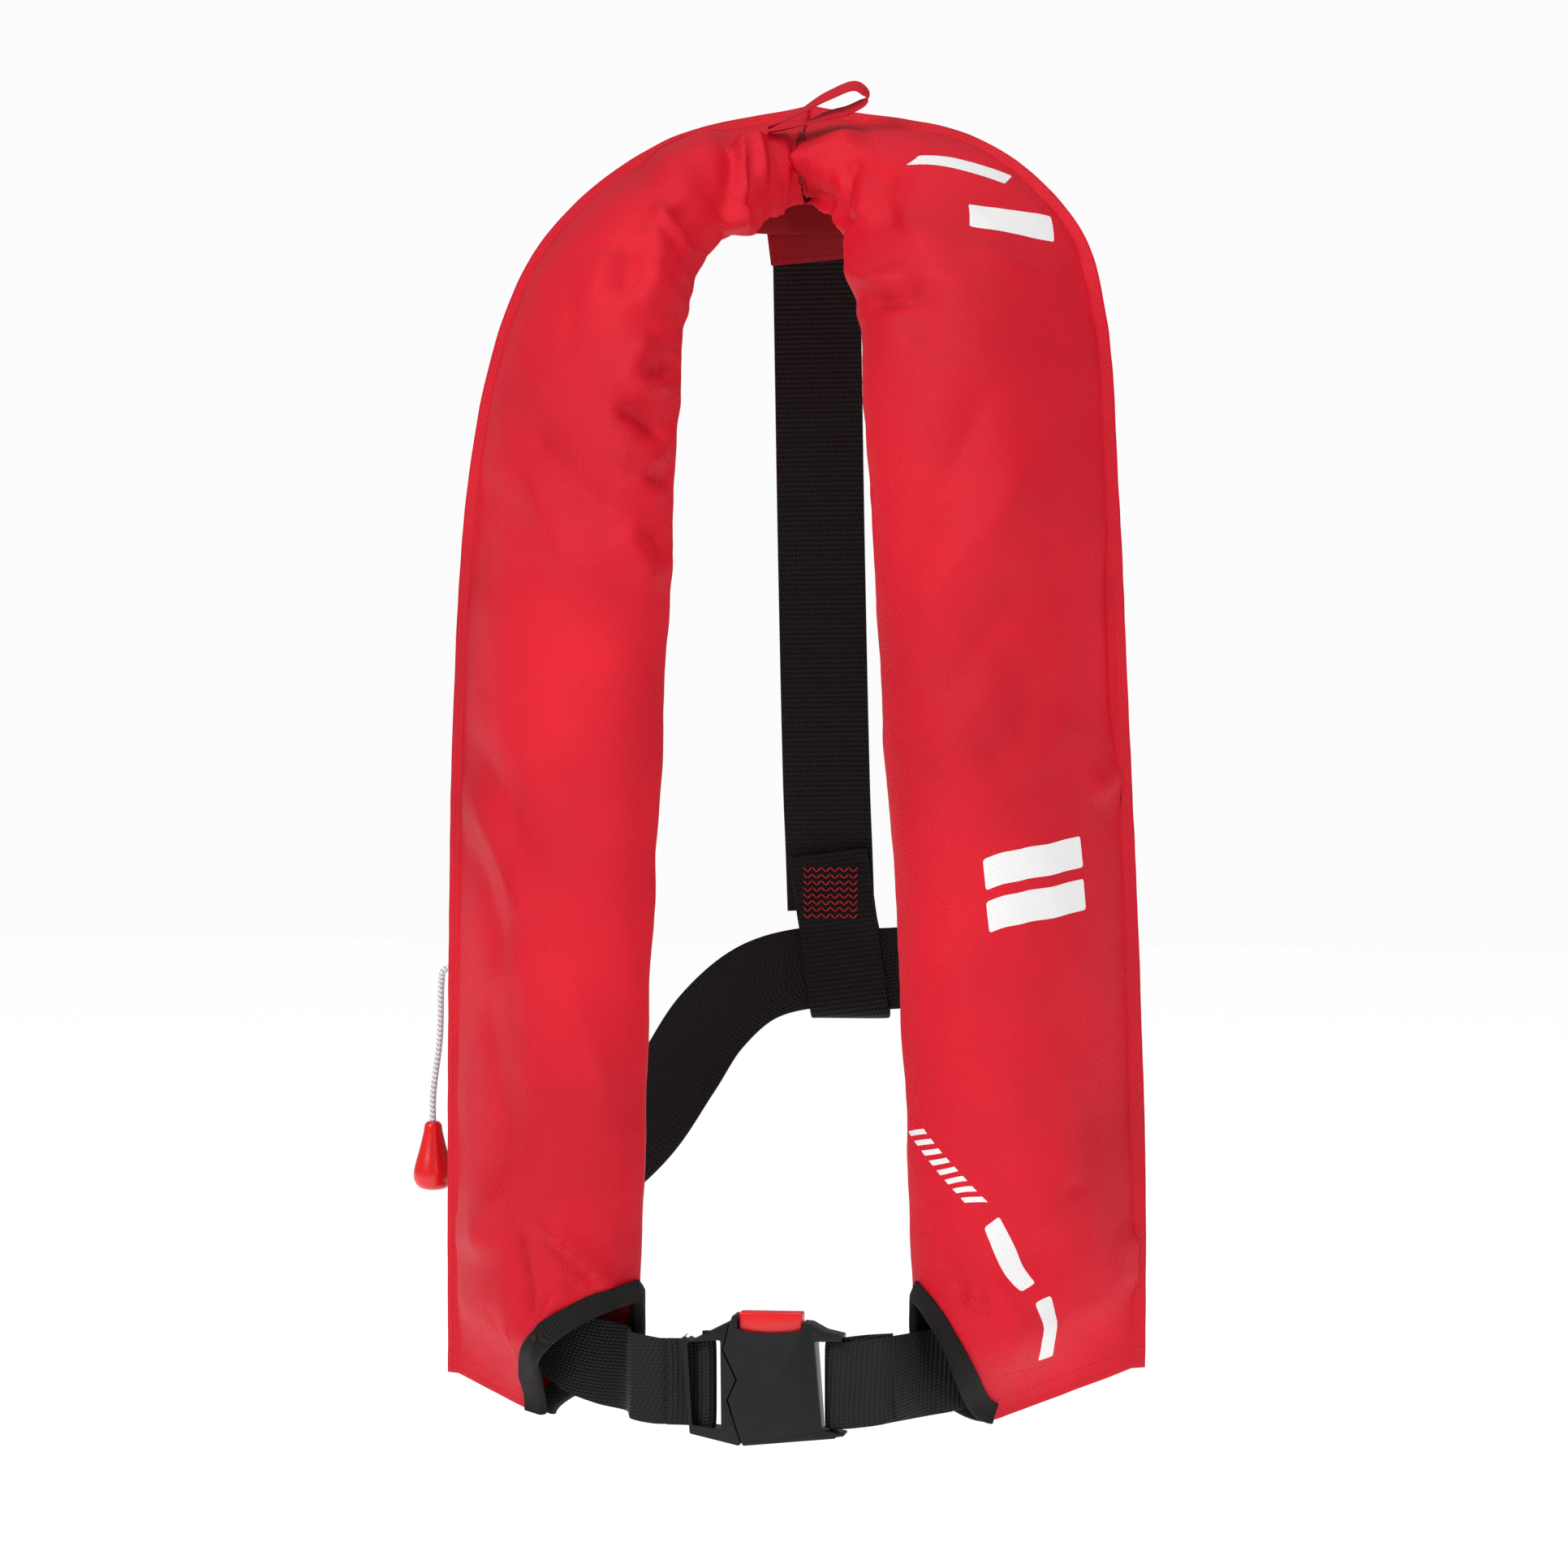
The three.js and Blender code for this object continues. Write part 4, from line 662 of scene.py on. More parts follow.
# ------------------------------------------------------------------ folds
# Folds and creases of the fabric, as they lie when seen from the camera: a kind, a width, a height,
# negative for a valley, and the line it follows, in millimetres right and up from AIM.
FOLDS = {
    "left": [
        ("edge", 4, 6.5, [(-23, 299), (-21, 290), (-22, 280), (-26, 266), (-29, 256)]),
        ("ridge", 11, 4, [(-63, 281), (-44, 290), (-23, 295)]),
        ("valley", 5.5, -5, [(-19, 295), (-18, 284), (-20, 273), (-23, 261)]),
        ("ridge", 4, 3, [(-15, 303), (-11, 290), (-12, 276)]),
        ("valley", 3, -2.5, [(-8, 300), (-8, 288), (-8, 276)]),
        ("crease", 3.5, 3.5, [(-63, 271), (-58, 261), (-49, 252), (-45, 243)]),
        ("valley", 6, -3, [(-54, 266), (-45, 256), (-41, 247)]),
        ("ridge", 9, 3.5, [(-66, 266), (-60, 252), (-62, 235), (-65, 216)]),
        ("valley", 7, -3, [(-74, 257), (-71, 240), (-76, 225)]),
        ("ridge", 8, 2.5, [(-85, 252), (-85, 235), (-91, 217)]),
        ("valley", 9, -2, [(-101, 237), (-101, 214), (-104, 195)]),
        ("ridge", 8, 3.4, [(-63, 214), (-72, 193), (-81, 176)]),
        ("valley", 5.5, -4.4, [(-81, 172), (-71, 174), (-63, 169), (-54, 158)]),
        ("ridge", 5, 3.2, [(-76, 181), (-65, 183), (-51, 187)]),
        ("valley", 5, -3.2, [(-66, 194), (-58, 191), (-51, 199)]),
        ("ridge", 6, 3, [(-85, 153), (-70, 153), (-53, 149)]),
        ("valley", 4.5, -2.6, [(-67, 144), (-58, 141), (-51, 142)]),
        ("ridge", 6, 2.6, [(-87, 134), (-72, 138), (-52, 134)]),
        ("valley", 10, -4, [(-125, 172), (-108, 153), (-90, 134), (-81, 123)]),
        ("ridge", 11, 3.2, [(-125, 159), (-113, 133), (-99, 104), (-78, 78)]),
        ("ridge", 8, 2.2, [(-79, 123), (-66, 104), (-59, 87)]),
        ("valley", 5, -2.4, [(-67, 123), (-60, 113), (-54, 104)]),
        ("valley", 14, -2.6, [(-138, 153), (-139, 116), (-136, 78)]),
        ("valley", 9, -2.9, [(-153, 33), (-138, 6), (-123, -24), (-115, -58)]),
        ("ridge", 7, 2.2, [(-151, 10), (-138, -20), (-123, -54), (-118, -81)]),
        ("valley", 7, -2.6, [(-153, -17), (-142, -43), (-134, -70), (-130, -92)]),
        ("valley", 10, -2.2, [(-110, 17), (-99, -7), (-86, -36)]),
        ("ridge", 10, 2.4, [(-134, -62), (-119, -88), (-116, -132), (-119, -164)]),
        ("valley", 8, -1.4, [(-140, -85), (-136, -122), (-130, -153), (-125, -175)]),
        ("ridge", 9, 1.8, [(-104, -85), (-92, -119), (-79, -153)]),
        ("valley", 8, -1.6, [(-113, -122), (-104, -156), (-101, -179)]),
        ("ridge", 9, 3.4, [(-141, -225), (-139, -204), (-128, -191), (-119, -198)]),
        ("valley", 3.6, -4.4, [(-127, -202), (-124, -221), (-121, -240), (-123, -255)]),
        ("ridge", 5, 3.6, [(-118, -199), (-101, -215), (-85, -232), (-73, -241)]),
        ("valley", 5, -3.2, [(-116, -209), (-104, -223), (-85, -240)]),
        ("crease", 3, 3.4, [(-102, -229), (-110, -244), (-115, -262), (-118, -277)]),
        ("valley", 7, -2.4, [(-142, -240), (-134, -259), (-123, -277)]),
    ],
    "right": [
        ("ridge", 6, 4.4, [(-7, 291), (9, 290), (28, 297), (41, 300)]),
        ("valley", 7, -5, [(-3, 285), (7, 276), (17, 271), (23, 262)]),
        ("ridge", 4.5, 3, [(-5, 288), (2, 279), (13, 272)]),
        ("edge", 5, -4.6, [(33, 294), (29, 281), (26, 270), (24, 259)]),
        ("ridge", 8, 3.6, [(35, 293), (37, 274), (32, 256)]),
        ("valley", 6, -3.4, [(47, 290), (49, 271), (47, 256)]),
        ("ridge", 7, 4.2, [(24, 261), (30, 248), (36, 237), (48, 232), (61, 235), (70, 240)]),
        ("valley", 4.5, -5, [(36, 232), (45, 226), (57, 227), (73, 236)]),
        ("crease", 9, 2.6, [(42, 288), (54, 266), (70, 240)]),
        ("valley", 9, -2.4, [(73, 240), (68, 222), (57, 203)]),
        ("ridge", 9, 1.6, [(81, 252), (111, 240), (138, 233)]),
        ("valley", 16, -3.4, [(107, 203), (85, 161), (66, 123), (52, 84)]),
        ("ridge", 14, 2.6, [(53, 72), (73, 95), (94, 118), (122, 159)]),
        ("valley", 12, -2.4, [(66, 33), (85, 57), (104, 85), (115, 108)]),
        ("ridge", 13, 2, [(62, 2), (85, 25), (107, 59)]),
        ("valley", 12, -2.2, [(85, 6), (108, 23), (119, 55)]),
        ("ridge", 9, 1.4, [(104, 2), (122, 14), (134, 36)]),
        ("valley", 4, -2.6, [(152, 123), (154, 85), (155, 44), (157, 6)]),
        ("ridge", 6, 2, [(143, -7), (152, 2), (158, 6)]),
        ("valley", 16, -2, [(126, -85), (139, -134), (150, -183)]),
        ("ridge", 20, 1.6, [(85, -58), (88, -119), (92, -172)]),
        ("valley", 5, -1, [(131, -185), (136, -189), (138, -193)]),
        ("valley", 10, -2.6, [(64, -225), (85, -234), (111, -225), (138, -209)]),
        ("crease", 3.2, 2.6, [(81, -238), (91, -242), (97, -240)]),
        ("ridge", 9, 2.4, [(164, -204), (167, -221), (166, -240)]),
        ("valley", 9, -1.8, [(122, -240), (138, -255), (156, -262)]),
        ("ridge", 8, 1.6, [(92, -225), (104, -243), (112, -266)]),
    ],
}
# Height of a fold against the distance from its line, in widths. A crease has one steep side and
# an edge drops away on its right.
SHAPES = {
    "ridge": lambda d: np.exp(-np.abs(d) ** 1.35),
    "valley": lambda d: np.exp(-np.abs(d) ** 1.15),
    "crease": lambda d: np.where(d > 0, np.exp(-np.abs(d) * 0.45), np.exp(-np.abs(d) * 2.2)),
    "edge": lambda d: np.where(d > 0, np.exp(-np.abs(d) * 0.28), np.exp(-np.abs(d) * 2.6)),
}
# The heights in FOLDS are multiplied by these. Valleys get less, to stay clear of the pieces inside.
RIDGE_RISE, FOLD_DEPTH = 1.9, 1.5
RIGHT = np.array([math.cos(TURNED), math.sin(TURNED), 0.0])
FORWARD = -np.array(BACK)
UPWARD = np.cross(RIGHT, FORWARD)
EYE = np.array(AIM + DISTANCE * BACK) / MM


def seen(points):
    """Where points are, right and up, seen from the camera, at the scale of AIM."""
    apart = points - EYE
    depth = (apart @ FORWARD) / (DISTANCE / MM)
    return np.stack([(apart @ RIGHT) / depth, (apart @ UPWARD) / depth], axis=-1)


def along_line(places, line):
    """Signed distance to a line, left of it positive, and the share of the line's length."""
    line = np.asarray(line, float)
    # A round line through the given points, in short steps.
    fine = laid_curve(np.hstack([line, np.zeros((len(line), 1))]),
                      np.linspace(0, 1, 6 * len(line)))[:, :2]
    best = np.full(places.shape[:-1], 1e9)
    signed, share = np.zeros_like(best), np.zeros_like(best)
    run = run_of(fine)
    for i in range(len(fine) - 1):
        step = fine[i + 1] - fine[i]
        length = math.hypot(*step)
        rel = places - fine[i]
        s = np.clip((rel @ step) / length**2, 0, 1)
        off = rel - s[..., None] * step
        far = np.hypot(off[..., 0], off[..., 1])
        nearer = far < best
        best = np.where(nearer, far, best)
        side = np.sign(step[0] * rel[..., 1] - step[1] * rel[..., 0])
        signed = np.where(nearer, far * side, signed)
        share = np.where(nearer, (run[i] + s * length) / run[-1], share)
    return signed, share


# Millimetres of cloth that t from 0 to 1 stands for, over the whole lobe and beside the nape seam.
LOBE_RUN, NAPE_RUN = 800, 620


def cloud(points, size, seed):
    """Smooth noise from -1 to 1, the same each run."""
    flat = points.reshape(-1, 3) / size
    made = np.array([noise.noise(Vector(p) + Vector((seed, 2 * seed, -seed))) for p in flat])
    return made.reshape(points.shape[:-1])


def relief(name, points, normals, t, angle):
    """How far the real fabric stands out of the smooth shape."""
    places = seen(points)
    facing = smooth((-normals @ FORWARD + 0.05) / 0.35)
    facing = facing * np.where((angle < 0) | (angle > TURN), 0.0, 1.0)
    height = np.zeros(points.shape[:-1])
    for kind, width, depth, line in FOLDS[name]:
        signed, share = along_line(places, line)
        fade = smooth(share / 0.3) * smooth((1 - share) / 0.3)
        if kind == "edge":
            fade = smooth(share / 0.15) * smooth((1 - share) / 0.15)
        rise = (RIDGE_RISE if depth > 0 else FOLD_DEPTH) * depth
        height += rise * fade * SHAPES[kind](signed / width) * (np.abs(signed) < 6 * width)
    height *= facing
    c = share_of(angle)
    flat = (angle > 0) & (angle < TURN)
    soft = smooth(np.minimum(angle, TURN - angle) / 0.5)
    lean = np.stack([points[..., 0] + 0.5 * points[..., 2], points[..., 1],
                     points[..., 2] * 0.55 - 0.3 * points[..., 0]], axis=-1)
    height += soft * (1.3 * cloud(lean, 42, 3.1) + 0.55 * cloud(lean, 17, 7.7)
                      + 0.22 * cloud(points, 8.5, 1.3))
    # The roll at the inner edge puckers where it bends, most over the shoulders.
    roll = smooth((0.34 - c) / 0.34)
    bend = 0.35 + 0.65 * smooth((t * STATIONS - 3) / 2)
    for rise, close, size, seed in ((1.7, 30, 30, 5.2), (0.7, 60, 13, 8.6)):
        over = np.stack([t * LOBE_RUN, 0 * t, close * c], axis=-1)
        height += roll * bend * rise * cloud(over, size, seed)
    # The nape seam draws the cloth in beside it, with short puckers.
    near = (1 - t) * NAPE_RUN
    height -= flat * 1.6 * np.exp(-near / 4) * smooth(c * 6)
    height += flat * 0.8 * np.exp(-near / 14) * np.sin(angle * 8 + 2) * soft * smooth(c * 4)
    # The stitched hem and flange lie a little uneven.
    height += 0.25 * cloud(points, 12, 9.4) * ~flat
    return height


def surface(name, t, angle):
    """Points of the real fabric's outer face, and its directions out."""
    lobe = LOBES[name]
    t, angle = np.broadcast_arrays(np.asarray(t, float), np.asarray(angle, float))
    points = plain_point(lobe, t, angle)
    dt, da = 2e-3, 0.03
    up = plain_point(lobe, np.minimum(t + dt, 1), angle) - plain_point(lobe, t - dt, angle)
    low, high = np.maximum(angle - da, -1.15), np.minimum(angle + da, TURN + 1.15)
    over = plain_point(lobe, t, high) - plain_point(lobe, t, low)
    normals = unit(np.cross(up, over)) * lobe["sign"]
    return points + normals * relief(name, points, normals, t, angle)[..., None], normals


def lip_of(lobe, angle):
    """Height of the mouth's lip above the tip: high in front, low behind."""
    return mix(lobe["mouth"] - lobe["tip_height"], BACK_LIP, smooth((angle - math.pi) / ROLL))


# The cover's grid, and what is kept of each front panel to find places on it.
ROWS, COLUMNS = 236, 112
COVER_MAPS = {}


def outward_faces(bm):
    """Turns an open shell so that its foremost face looks forward."""
    bmesh.ops.recalc_face_normals(bm, faces=bm.faces)
    foremost = min(bm.faces, key=lambda f: f.calc_center_median().y)
    if foremost.normal.y > 0:
        bmesh.ops.reverse_faces(bm, faces=bm.faces)


def slot_for_belt(bm, centre, reach):
    """Opens a slot in the back panel, where the belt comes out."""
    middle = Vector(centre) * MM
    gone = []
    for face in bm.faces:
        off = (face.calc_center_median() - middle) / MM
        if abs(off.x) < reach[0] and abs(off.y) < reach[1] and abs(off.z) < reach[2]:
            gone.append(face)
    bmesh.ops.delete(bm, geom=gone, context="FACES")


def cover(name, prints=()):
    """One lobe of the jacket: front and back panels from the hem and the belt's mouth to the nape."""
    lobe = LOBES[name]
    flange = [0.25, 0.5, 0.8, 1.0, 1.1]
    angles = np.concatenate([[-1.2], [-f for f in flange[::-1]], np.linspace(0, TURN, COLUMNS),
                             [TURN + f for f in flange], [TURN + 1.2]])
    foot = time_at(foot_height(lobe, share_of(angles), lip_of(lobe, angles)))
    rise = np.linspace(0, 1, ROWS) ** 1.12
    t = foot[None, :] + rise[:, None] * (1 - foot[None, :])
    spread = np.broadcast_to(angles, t.shape)
    grid, _ = surface(name, t, spread)
    grid[-1, :, 0] += 0.15 * lobe["sign"]
    across, upward = threads_over(grid)
    # The threads start level half way up, so that they run straight where the lobe is straight.
    upward -= [np.interp(0.5, t[:, k], upward[:, k]) for k in range(len(angles))]
    across -= across[:, angles == 0]
    front = (angles > 0.05) & (angles < math.pi)
    COVER_MAPS[name] = [a[:, front].reshape(-1, *a.shape[2:])
                        for a in (seen(grid), across, upward, t, spread)]
    marks = []
    for place, toward, *rest in prints:
        centre, ahead = on_cloth(name, place), on_cloth(name, toward)
        turned = math.degrees(math.atan2(ahead[1] - centre[1], ahead[0] - centre[0]))
        marks.append((centre[:2], *rest[:1], turned, *rest[1:]))
    bm = cloth_grid(grid, around=True, threads=(across, upward))
    outward_faces(bm)
    slot_for_belt(bm, *BELT_SLOTS[name])
    outside = oxford_polyester("oxford_polyester_" + name, RED_LIGHT, RED_DARK, marks)
    piece = finished("cover_" + name, bm, outside, LINER, smooth_angle=0)
    wall = piece.modifiers.new("wall", "SOLIDIFY")
    wall.thickness, wall.offset, wall.use_rim = WALL * MM, -1, True
    wall.material_offset, wall.material_offset_rim = 1, 0
    return piece


def on_cloth(name, place):
    """The threads' coordinates, in millimetres, of a place on a lobe's front, and its t and angle."""
    where, *facts = COVER_MAPS[name]
    near = np.argsort(np.hypot(*(where - np.array(place)).T))[:4]
    weight = 1 / (np.hypot(*(where[near] - np.array(place)).T) + 0.05)
    return [float((f[near] * weight).sum() / weight.sum()) for f in facts]


# Where the belt leaves each lobe: the middle of the slot, and half its size.
BELT_SLOTS = {"left": ((-128, -86, -513), (9, 14, 25)), "right": ((133, -96, -514), (10, 14, 25))}
# Plain marks in white ink: two bars on the shoulder, two on the chest, and a row of short bars with
# two stripes below it. Each has its middle, a place that its width points to and its size, then how
# far its sides lean, and for the row how many bars it has and how round its corners are.
PRINTS = {
    "left": (),
    "right": (
        ((107, 262), (130, 257), (48, 20), 0.25),
        ((84, 288), (106, 281), (46, 15), 0.25),
        ((118, -36), (140, -31), (58, 14), 0.2),
        ((120, -56), (142, -51), (58, 14), 0.2),
        ((75, -179), (95, -177), (16, 40), -1.4, 8, 0.6),
        ((103, -219), (121, -209), (10, 36), 0.0),
        ((124, -256), (142, -246), (10, 36), 0.0),
    ),
}
cover_left = cover("left", PRINTS["left"])
cover_right = cover("right", PRINTS["right"])
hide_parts("cover_front_left", "cover_back_left",
            "closure_tape_left_lower", "closure_tape_left_upper")
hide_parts("cover_front_right", "cover_back_right", "closure_tape_right")


# ------------------------------------------------------------------ tape and stitches on the lobes
def strip_on(name, t, angle, rises, lifts):
    """Points beside a line on a lobe: each rise is a distance to its left in the cloth's surface,
    and each lift a distance out of it."""
    lobe = LOBES[name]
    line = plain_point(lobe, t, angle)
    tangent = unit(np.gradient(line, axis=0))
    dt, da = 1e-3, 1e-2
    up = (plain_point(lobe, t + dt, angle) - line) / dt
    over = (plain_point(lobe, t, angle + da) - line) / da
    normal = unit(np.cross(up, over)) * lobe["sign"]
    side = unit(np.cross(normal, tangent))
    # Steps in t and angle that add up to one millimetre sideways.
    a, b, c = (up * up).sum(1), (up * over).sum(1), (over * over).sum(1)
    p, q = (side * up).sum(1), (side * over).sum(1)
    whole = a * c - b * b
    go_t, go_a = (p * c - q * b) / whole, (q * a - p * b) / whole
    if go_t.mean() < 0:
        go_t, go_a = -go_t, -go_a
    rises, lifts = np.asarray(rises, float), np.asarray(lifts, float)
    points, normals = surface(name, t[:, None] + go_t[:, None] * rises,
                              np.clip(angle[:, None] + go_a[:, None] * rises, -1, TURN + 1))
    return points + normals * lifts[None, :, None], normals


def binding(name, part, start, end, half_turn=0.0):
    """Tape folded over a lip of the belt's mouth, from the hem's tip round to the inner edge."""
    lobe = LOBES[name]
    climb = np.linspace(start, end, 46) ** max(1, 1 / lobe["sweep"])
    angle = np.arccos(2 * np.clip(lobe["tip"] * (1 - climb), 0, 1) - 1)
    if half_turn:
        angle = np.concatenate([angle, np.linspace(math.pi, math.pi + half_turn, 10)[1:]])
    if part == "back":
        angle = TURN - angle
    lip = lip_of(lobe, angle)
    t = time_at(foot_height(lobe, share_of(angle), lip))
    out, back = (2.2 if name == "left" else 1.5), -WALL - 1.2
    section = [(9, out - 0.9), (8.8, out), (6, out + 0.15), (3, out + 0.1), (0, out + 0.15),
               (-1.1, out - 0.2), (-1.8, out - 1.2), (-1.8, back + 1.2), (-1.1, back + 0.2),
               (0, back), (4, back),
               (8.8, back), (9, back + 0.9), (4, back + 0.9), (-0.6, back + 1), (-0.6, out - 1),
               (4, out - 0.9)]
    rises, lifts = zip(*(section + section[:1]))
    grid, _ = strip_on(name, t, angle, rises, lifts)
    piece = finished(f"binding_{part}_{name}_tape", outward(cloth_grid(grid, around=True, caps=True)),
                     TAPE)
    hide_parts(f"binding_{part}_{name}")
    return piece


for lobe_name in LOBES:
    binding(lobe_name, "front", 0.02, 1, 0.3)
    binding(lobe_name, "back", 0.02, 0.86)


def stitching(name, runs, material, pitch=3.2, length=2.3, thick=0.55):
    """Rows of single stitches: each a small bead of thread, laid along points with their normals."""
    bm = bmesh.new()
    for points, normals in runs:
        count = max(2, int(run_of(points)[-1] / pitch) + 1)
        spaced = evenly(np.hstack([points, normals]), count)
        # evenly() measures the normals as well, which are short, so the pitch stays nearly even.
        places, ways = spaced[:, :3], unit(spaced[:, 3:])
        tangents = unit(np.gradient(places, axis=0))
        for place, way, ahead in zip(places, ways, tangents):
            side = np.cross(way, ahead)
            turn = Matrix([[*(a * b * MM / 2 for a, b in zip(row, (length, thick, thick))), 0]
                           for row in np.stack([ahead, side, way], axis=1)] + [[0, 0, 0, 1]])
            turn.translation = Vector(place + way * 0.05) * MM
            bmesh.ops.create_icosphere(bm, subdivisions=1, radius=1, matrix=turn)
    return finished(name, bm, material)


def hem_row(name, rise):
    """A row of stitches along the hem, a distance above its edge."""
    lobe = LOBES[name]
    tip = math.acos(2 * lobe["tip"] - 1)
    angle = np.linspace(-0.8, tip - 0.03, 60)
    t = time_at(foot_height(lobe, share_of(angle), 0)) + rise / COVER_REACH / STATIONS
    return surface(name, t, angle)


def seen_line(name, places):
    """A line on a lobe's front through places as seen from the front."""
    cloth_size = (700, 50)  # millimetres of cloth to one t, and to one radian
    spots = np.array([on_cloth(name, p)[2:] for p in places])
    fine = laid_curve(np.hstack([spots * cloth_size, np.zeros((len(spots), 1))]),
                      np.linspace(0, 1, 30))[:, :2] / cloth_size
    return surface(name, fine[:, 0], fine[:, 1])


for lobe_name, lobe in LOBES.items():
    up_flange = np.linspace(time_at(lobe["corner"]) + 0.003, 0.999, 300)
    stitching(f"flange_stitching_{lobe_name}", [surface(lobe_name, up_flange, -0.6)], RED_THREAD)
    stitching(f"hem_stitching_{lobe_name}", [hem_row(lobe_name, r) for r in (2.6, 9.5)], RED_THREAD,
              pitch=2.9)
    seam = 1 - 3.2 / NAPE_RUN
    stitching(f"nape_stitching_{lobe_name}",
              [surface(lobe_name, seam, np.linspace(0.15, 3.0, 90))], RED_THREAD, pitch=3.0)
# The tube's keeper is sewn on inside the right lobe: three sides of its square of stitches show in
# front.
stitching("keeper_stitching", [seen_line("right", [(104, -275), (121, -271)]),
                               seen_line("right", [(121, -271), (122, -285)]),
                               seen_line("right", [(104, -275), (106, -289)])], RED_THREAD, pitch=2.6)
stitching("tip_tacks", [seen_line("right", [(91, -289), (98, -292)]),
                        seen_line("left", [(-116, -288), (-112, -291)])], BRIGHT_THREAD,
          pitch=1.0, length=3.0, thick=0.9)


# ------------------------------------------------------------------ yoke, patch, hang loop
UP, ACROSS = (0, 0, 1), (1, 0, 0)
yoke = webbing("neck_yoke_band", [((-46, 4, 0), UP), ((-26, 15, -1), UP), ((-2, 18.4, -1.5), UP),
                                  ((22, 15.5, -1), UP), ((42, 5, 0), UP)], 22, 2, LINER)
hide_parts("neck_yoke")
patch_shape = slab(bmesh.new(), rounded([(-27, 4), (22, 4), (21, -24), (-23, -28)],
                                        [1.5] * 4), 20.3, 21.7)
patch = finished("strap_patch_sewn", soften(patch_shape, 0.5, 2), LINER)
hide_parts("strap_patch")
edge = [(-24.5, 1), (-21, -25.5), (19, -21.8), (19.6, 1)]
stitching("patch_stitching", [
    (np.array([(x, 20.1, z) for x, z in evenly(np.array(edge[k:k + 2], float), 20)]),
     np.tile((0, -1, 0), (20, 1))) for k in range(3)], RED_THREAD, pitch=3.0)

HANG = np.array((-16.5, -18.5, 34))
# The tape lies over to the front, so that its face shows, but stands straight where it is sewn.
hang_knots = [(HANG + place, (0, 1, lean)) for place, lean in (
    ((-2, 0, 1.2), 0), ((13, 2, 4.5), 0.1), ((27, 6, 9.5), 0.5), ((37, 9, 12.5), 0.6),
    ((45, 10, 18), 0.6), ((40, 9, 23.5), 0.6), ((27, 6, 19), 0.6), ((12, 2, 10), 0.3),
    ((-2, 0, 3.4), 0))]
hang_loop = webbing("hang_loop_tape", hang_knots, 9.5, 1.3, oxford_polyester(
    "hanger_tape", "#cf1029", "#b90c22"), body="hang_loop")
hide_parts("hang_loop")


# ------------------------------------------------------------------ back strap and its loop
strap = webbing("back_strap_webbing", [((-1, 23, 9), ACROSS), ((0.3, 23, -70), ACROSS),
                                       ((2, 23, -170), ACROSS), ((4.6, 23.1, -285), ACROSS),
                                       ((5.4, 25.2, -312), ACROSS), ((6.4, 25.3, -342), ACROSS)],
                43, 1.9, WEBBING, body=None)
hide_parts("back_strap")
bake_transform(strap)


def leaned(points):
    """The loop leans with the strap: across as far as it hangs down."""
    return [((5.5 + 10 * (-316 - z) / 75, y, z), ACROSS) for y, z in points]


loop = webbing("back_loop_webbing", leaned([
    (22.9, -314), (22.8, -330), (23.0, -344), (24.5, -353), (24.6, -372), (24.7, -390),
    (26.0, -393.6), (28, -394.4), (30.2, -393.4), (31.2, -390), (31.2, -372), (31.1, -353),
    (28.2, -345), (27.4, -334), (27.4, -316)]), 38.5, 1.9, WEBBING, body="back_loop", step=1.0)
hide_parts("back_loop")


def zigzag(name, centre, width, height, rows, teeth, y, material, body):
    """A bar-tack: rows of zigzag thread sewn through webbing."""
    radius = 0.34 * MM
    lines = []
    for r in range(rows):
        z = centre[1] + height * (0.5 - (r + 0.5) / rows)
        for k in range(2 * teeth):
            x = centre[0] + width * ((k + 0.5) / (2 * teeth) - 0.5)
            slope = 1 if k % 2 else -1
            a = Vector((x - width / teeth / 4, y, z - slope * height / rows * 0.36))
            b = Vector((x + width / teeth / 4, y, z + slope * height / rows * 0.36))
            lines.append((a, b))
    bm = bmesh.new()
    for a, b in lines:
        ahead = b - a
        turn = ahead.to_track_quat("Z", "Y").to_matrix().to_4x4()
        turn.translation = (a + b) / 2 * MM
        size = Matrix.Diagonal((radius, radius, ahead.length / 2 * 1.08 * MM, 1))
        bmesh.ops.create_icosphere(bm, subdivisions=1, radius=1, matrix=turn @ size)
    return finished(name, bm, material, body=body)


zigzag("loop_bar_tack", (6.6, -333.5), 27, 26, 8, 6, 21.75, BRIGHT_THREAD, "back_loop")

# ------------------------------------------------------------------ waist belt
BELT_Y, BELT_Z, TAIL_Y = 28, -371, -169
BUCKLE = np.array((0, -172, -550))


def inside_of(name):
    """Through the mouth, inside the lobe, and out by the slot in the back panel."""
    lobe = LOBES[name]
    reach = 0.45 + 1.1 * lobe["tip"]
    knots = []
    for z, share, n in ((-547, 0.05, 2), (-545, 0.2, 2), (-541, 0.35, 2), (-534, 0.48, 0.5),
                        (-527, 0.6, -7), (-519, 0.7, -19)):
        inner, chord, width, front = axes_at(lobe, np.array([time_at(z)]))
        knots.append((tuple((inner + chord * share * reach * width[:, None] + front * n)[0]), UP))
    return knots


round_back = [
    ((121, -6, -414), UP), ((92, 16, -386), UP), ((64, BELT_Y, BELT_Z), UP),
    ((28, BELT_Y, BELT_Z), UP), ((-6, BELT_Y, BELT_Z), UP), ((-30, 22, -378), (-0.22, 0, 0.95)),
    ((-50, 8, -396), (-0.6, 0, 0.78)), ((-64, -9, -420), (-0.84, 0, 0.52)),
    ((-80, -26, -446), (-0.8, 0, 0.55)), ((-106, -38, -472), (-0.5, 0.2, 0.8))]
